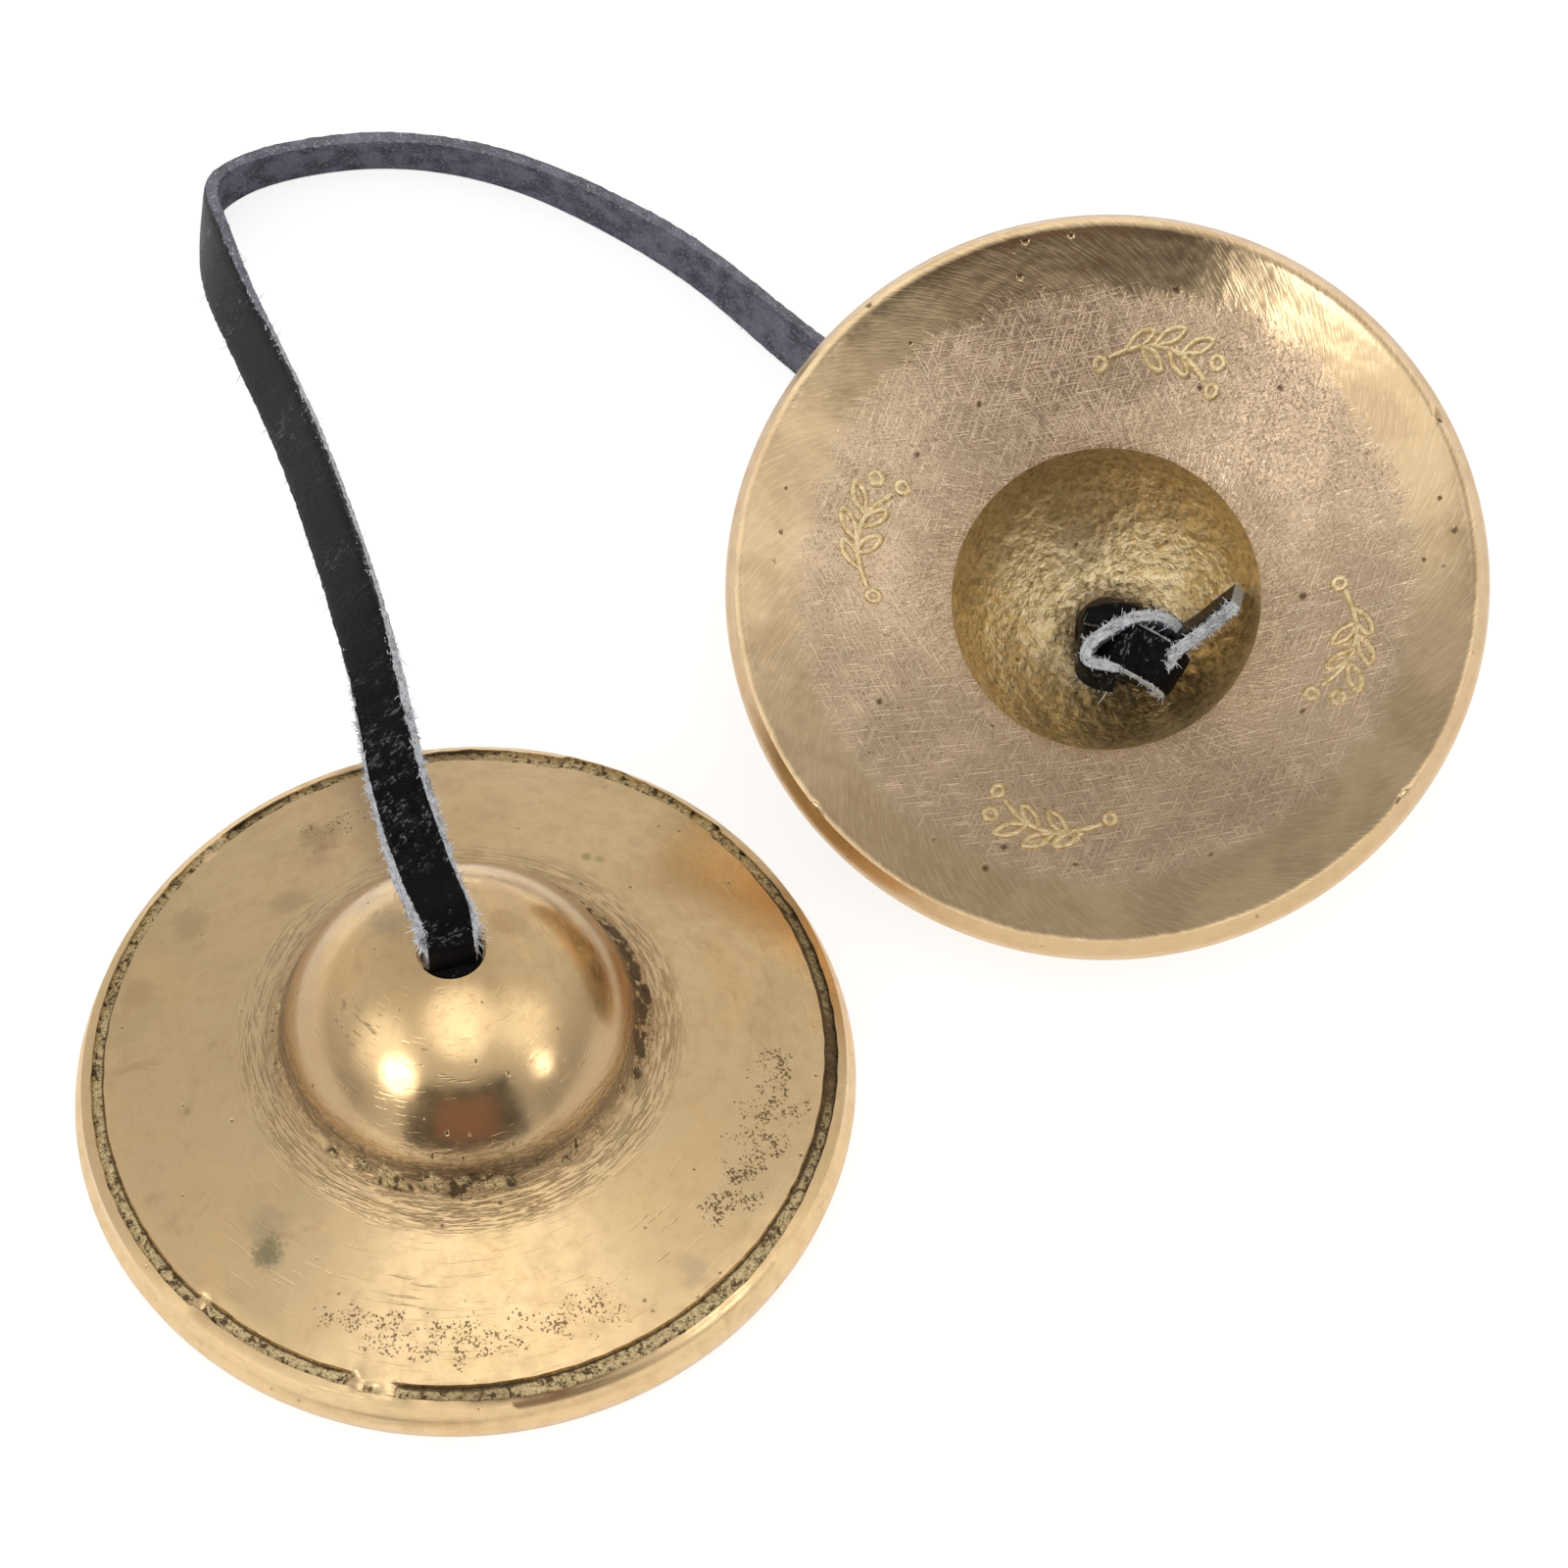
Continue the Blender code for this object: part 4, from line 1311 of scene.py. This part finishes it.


# The height of a point in the groove, which is rough and filled in places, its skin, and its dirt and
# painted shade along the walls
def groove_casting(place, reach, bearing):
    share = (reach - GROOVE_IN) / GROOVE_WIDTH
    filled = windows(bearing, GROOVE_FILLED) * (1.2 + 1.4 * rough(place, 1.2 * MM, 5.0))
    kept = 1.0 - min(max(filled, 0.0), 1.0)
    surface = flange_height(reach)
    lump = 0.08 * rough(place, 0.45 * MM) + 0.09 * rough(place, 1.5 * MM, 9.0)
    inside = 0.02 < share < 0.95
    depth = max((surface - place.z) * kept + lump * MM * kept * inside, 0.0)
    # Dirt and painted shade along both walls of the groove
    grime_and_shade = max(0.0, 1.0 - abs(share - 0.06) / 0.16) + 0.5 * max(0.0, 1.0 - abs(share - 0.93) / 0.09)
    grime_and_shade += windows(bearing, DARK_GROOVE) * inside
    return surface - depth, kept * inside, kept * grime_and_shade


# Moves one corner and returns how much cast skin it shows, and how much dirt and painted shade
def unsettle(corner, finish, trim):
    place = corner.co.copy()
    reach = math.hypot(place.x, place.y)
    outward = Vector((place.x, place.y, 0.0)) / reach
    bearing = math.degrees(math.atan2(place.y, place.x)) % 360.0
    cast = 0.0
    grime_and_shade = 0.0
    if finish == POLISHED and place.z > WIDEST_HEIGHT:
        if FOOT_INNER < reach < FOOT_OUTER:
            lift, cast, grime_and_shade = foot_casting(place, reach, bearing)
            corner.co.z += lift
        if GROOVE_IN - 0.12 * MM < reach < GROOVE_OUT + 0.02 * MM:
            corner.co.z, cast, grime_and_shade = groove_casting(place, reach, bearing)
        start, end = GROOVE_ZONE
        if start < reach < end:
            ease = min(1.0, (reach - start) / (1.2 * MM), (end - reach) / (0.4 * MM))
            shift = groove_shift(bearing) + 0.1 * MM * rough(place, 1.4 * MM, 3.0)
            if reach > GROOVE_IN + 0.5 * GROOVE_WIDTH:
                shift += 0.32 * MM * windows(bearing, WIDE_GROOVE)
            corner.co += outward * (shift * ease)
        off_arris = math.hypot(reach - CYMBAL_RADIUS + 0.25 * MM, place.z - WIDEST_HEIGHT - 1.4 * MM)
        worn = 1.0 - windows(bearing, (SHARP_RIM,))
        wear = max(0.0, 1.0 - off_arris / (1.3 * MM)) ** 1.3 * worn
        corner.co -= (outward * 0.3 + Vector((0.0, 0.0, 0.22))) * (MM * wear)
    if reach > TRIM_FROM:
        corner.co -= outward * trim * min(1.0, (reach - TRIM_FROM) / TRIM_RUN)
    if finish == HOLLOW:
        lift = 0.1 * rough(place, 1.1 * MM, 6.0) + 0.05 * rough(place, 0.5 * MM, 8.0)
        lift += 0.12 * rough(place, 4.0 * MM)
        corner.co += (place - Vector((0.0, 0.0, CROWN_CENTRE))).normalized() * (lift * MM)
    if finish == STRIKING:
        corner.co.z = max(place.z + 0.06 * MM * rough(place, 5.0 * MM, 7.0), 0.0)
    return cast, grime_and_shade


def knock(corner, bearings):
    place = corner.co
    for bearing in bearings:
        angle = math.radians(bearing)
        rim = Vector((math.cos(angle), math.sin(angle), 0.0)) * (CYMBAL_RADIUS - LAND_INSET)
        gap = (place - rim).length
        if gap < NICK_REACH:
            corner.co -= rim.normalized() * NICK_DEPTH * (1.0 - gap / NICK_REACH) ** 2
            corner.co.z += NICK_DEPTH * (1.0 - gap / NICK_REACH) ** 2


# %% Spin, unsettle and place a cymbal
def build_cymbal(name, body, node, place, pattern_turn, trim, nicks):
    bm = bmesh.new()
    rings = bm.verts.layers.int.new("ring")
    own = bm.verts.layers.float_vector.new("own_mm")
    cast_skin = bm.verts.layers.float.new("cast_skin")
    grime_and_shade_layer = bm.verts.layers.float.new("grime_and_shade")
    section = cymbal_section()
    corners = []
    for i, (radius, height, _) in enumerate(section):
        corner = bm.verts.new((radius, 0.0, height))
        corner[rings] = i
        corners.append(corner)
    outline = [bm.edges.new((corners[i - 1], corners[i])) for i in range(len(corners))]
    bmesh.ops.spin(
        bm, geom=corners + outline, cent=(0.0, 0.0, 0.0), axis=(0.0, 0.0, 1.0), dvec=(0.0, 0.0, 0.0),
        angle=2.0 * math.pi, steps=SPIN_STEPS, use_merge=True,
    )
    finishes = [finish for _, _, finish in section]
    for face in bm.faces:
        found = [corner[rings] for corner in face.verts]
        closing = max(found) - min(found) > 1
        face.material_index = POLISHED if closing else finishes[max(found)]
    for corner in bm.verts:
        corner[cast_skin], corner[grime_and_shade_layer] = unsettle(corner, finishes[corner[rings]], trim)
        corner[own] = corner.co / MM
    turn = Matrix.Rotation(math.radians(pattern_turn), 3, "Z")
    bmesh.ops.rotate(bm, cent=(0.0, 0.0, 0.0), matrix=turn, verts=bm.verts)
    for corner in bm.verts:
        if corner.co.z < 2.0 * MM:
            knock(corner, nicks)
    bmesh.ops.transform(bm, matrix=place, verts=bm.verts)
    piece = finish_piece(name, bm, brass, body)
    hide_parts(node)


build_cymbal(
    "cymbal_left_brass", "left_cymbal", "cymbal_left", left_place, 0.0, 0.1 * MM, (70.0, 151.0)
)
build_cymbal(
    "cymbal_right_brass", "right_cymbal", "cymbal_right", right_place, 140.0, 0.2 * MM,
    (336.0, 39.0, 142.0),
)

# %% [markdown]
# ## Leaf sprays on the striking side
# The dished face carries a low cast ornament: four small sprays of leaves. Each stroke is drawn as
# a curve on a flat sheet, given a round bevel, turned into a mesh and pressed onto the dish, so
# that it stands about a fifth of a millimetre proud.

# %% Ornament
SPRAY_BEARINGS = (15.0, 105.0, 195.0, 285.0)
SPRAY_RADIUS = 21.5 * MM
STROKE_HALF = 0.27 * MM
STROKE_RISE = 0.75
STEM = ((-4.6, -1.2), (-2.4, -0.2), (0.0, 0.2), (2.4, -0.2), (4.4, -1.4))
LEAF = ((0.0, 0.0), (0.5, 1.2), (1.7, 2.1), (3.0, 2.3), (2.5, 1.2), (1.4, 0.3), (0.0, 0.0))
LEAF_PLACES = (
    (-3.0, -0.5, 1.0), (-0.6, 0.15, 1.0), (1.8, 0.0, 1.0), (-1.8, 0.0, -1.0), (0.6, 0.15, -1.0),
)
BERRIES = ((5.4, -1.9), (4.9, 0.3), (-5.4, -1.7))
BERRY_RADIUS = 0.55


def stroke_curve(points, closed=False):
    data = new_curve("stroke", STROKE_HALF, 2)
    data.resolution_u = 6
    line = data.splines.new("NURBS")
    line.points.add(len(points) - 1)
    for point, (x, y) in zip(line.points, points):
        point.co = (x * MM, y * MM, 0.0, 1.0)
    line.order_u = 3
    line.use_endpoint_u = not closed
    line.use_cyclic_u = closed
    return data


def spray_strokes():
    strokes = [stroke_curve(STEM)]
    for x, y, side in LEAF_PLACES:
        strokes.append(stroke_curve([(x + dx * 0.75, y + dy * side * 0.8) for dx, dy in LEAF]))
    turns = [i * math.pi / 4.0 for i in range(8)]
    for x, y in BERRIES:
        ring = [(x + BERRY_RADIUS * math.cos(a), y + BERRY_RADIUS * math.sin(a)) for a in turns]
        strokes.append(stroke_curve(ring, closed=True))
    return strokes


def press_on_dish(bm, bearing):
    for corner in bm.verts:
        radius = SPRAY_RADIUS + corner.co.y
        angle = math.radians(bearing) + corner.co.x / SPRAY_RADIUS
        height = dish_height(radius) - corner.co.z * STROKE_RISE
        corner.co = (radius * math.cos(angle), radius * math.sin(angle), height)


def build_sprays(name, body, place):
    sprays = bmesh.new()
    for bearing in SPRAY_BEARINGS:
        for data in spray_strokes():
            bm = mesh_of(data)
            bmesh.ops.remove_doubles(bm, verts=bm.verts, dist=0.002 * MM)
            press_on_dish(bm, bearing)
            add_to(sprays, bm)
    own = sprays.verts.layers.float_vector.new("own_mm")
    for corner in sprays.verts:
        corner[own] = corner.co / MM
    bmesh.ops.transform(sprays, matrix=place, verts=sprays.verts)
    finish_piece(name, sprays, [brass[HOLLOW]], body)


build_sprays("leaf_sprays_left", "left_cymbal", left_place)
build_sprays("leaf_sprays_right", "right_cymbal", right_place)

# %% [markdown]
# ## Table and light
# The pair stands on a plain white table. The table looks white to the camera and in the brass, and
# still takes a soft shadow. Polished brass is mostly a mirror of the room, so the room matters: an
# even grey, brighter overhead, darker in front and to the right, with two soft boxes at the front.

# %% Table
TABLE_HALF = 2.0
TABLE_FRONT = 0.082
WHITE = (1.0, 1.0, 1.0, 1.0)


def plain_table():
    sockets = {"Base Color": (0.8, 0.8, 0.8, 1.0), "Roughness": 0.9}
    material, tree, shader = new_material("plain_table", sockets)
    rays = ("Is Camera Ray", "Is Glossy Ray", "Is Transmission Ray")
    seen = highest(*[output_of(tree, "LightPath", ray) for ray in rays])
    glow = output_of(tree, "Emission", 0, {"Color": WHITE, "Strength": 0.73})
    plain = output_of(tree, "BsdfDiffuse", 0, {"Color": (0.45, 0.45, 0.45, 1.0)})
    both = glow.node("AddShader", {0: glow, 1: plain})
    choice = seen.node("MixShader", {0: seen, 1: Value(tree, shader.outputs[0]), 2: both})
    choice.into(tree.nodes["Material Output"].inputs["Surface"])
    return material


floor_mesh = bpy.data.meshes.new("table")
floor = bmesh.new()
bmesh.ops.create_grid(floor, x_segments=1, y_segments=1, size=TABLE_HALF)
bmesh.ops.translate(floor, vec=(0.0, TABLE_HALF - TABLE_FRONT, 0.0), verts=floor.verts)
floor.to_mesh(floor_mesh)
floor.free()
floor_mesh.materials.append(plain_table())
table_top = add_object("table", floor_mesh)

# %% Room
ROOM_LEVEL = 0.66
ROOM_TINT = (1.0, 0.985, 0.96, 1.0)
# Each soft patch: azimuth and height of its middle, outer and inner radius in degrees, its change
ROOM_PATCHES = (
    (-84.0, 72.0, 28.0, 2.0, 0.95),
    (-80.0, 56.0, 15.0, 2.0, 0.3),
    (110.0, 54.0, 44.0, 16.0, -0.12),
    (-16.0, 44.0, 26.0, 3.0, 0.6),
    (-152.0, 33.0, 26.0, 3.0, 0.72),
    (60.0, 12.0, 50.0, 10.0, 0.08),
)
# The dark stand in front: azimuth and height of its middle, half width and half height
DARK_STAND = (-86.0, -15.0, 30.0, 45.0)
WARM_PATCH = (-84.0, 10.0, 14.0, 10.0)
STAND_SOFTNESS = 7.0
STAND_DARK = (0.17, 0.16, 0.15, 1.0)
WARM_BROWN = (0.50, 0.27, 0.21, 1.0)


# 1 inside a soft-edged window of directions, 0 outside it
def soft_window(way, azimuth, height, half_width, half_height):
    sideways = way.heading().facing(direction_to(azimuth)).math("ARCCOSINE")
    upwards = abs(way.parts()[2].math("ARCSINE") - math.radians(height))
    width, tall, edge = [math.radians(a) for a in (half_width, half_height, STAND_SOFTNESS)]
    return sideways.step(width + edge, width) * upwards.step(tall + edge, tall)


def room_light():
    world = bpy.data.worlds.new("room")
    world.use_nodes = True
    tree = world.node_tree
    way = output_of(tree, "TexCoord", "Generated")
    seen = output_of(tree, "LightPath", "Is Camera Ray")
    level = ROOM_LEVEL
    for azimuth, height, wide, narrow, change in ROOM_PATCHES:
        near = way.facing(direction_to(azimuth, height))
        patch = near.step(math.cos(math.radians(wide)), math.cos(math.radians(narrow)))
        level = level + patch * change
    colour = layered(
        ROOM_TINT,
        (soft_window(way, *DARK_STAND), STAND_DARK),
        (soft_window(way, *WARM_PATCH) * 0.7, WARM_BROWN),
        (seen, WHITE),
    )
    background = tree.nodes["Background"].inputs
    (level + seen * (1.0 - level)).into(background["Strength"])
    colour.into(background["Color"])
    bpy.context.scene.world = world


def soft_box(name, azimuth, height, distance, size, power):
    data = bpy.data.lights.new(name, "AREA")
    data.shape = "DISK"
    data.size = size
    data.energy = power
    lamp = add_object(name, data)
    way = direction_to(azimuth, height)
    lamp.location = left_pivot + way * distance
    lamp.rotation_euler = way.to_track_quat("Z", "Y").to_euler()


room_light()
soft_box("box_left", -131.0, 27.0, 0.36, 0.14, 0.165)
soft_box("box_right", -29.0, 20.0, 0.36, 0.085, 0.061)
bpy.context.scene.view_settings.view_transform = "Standard"
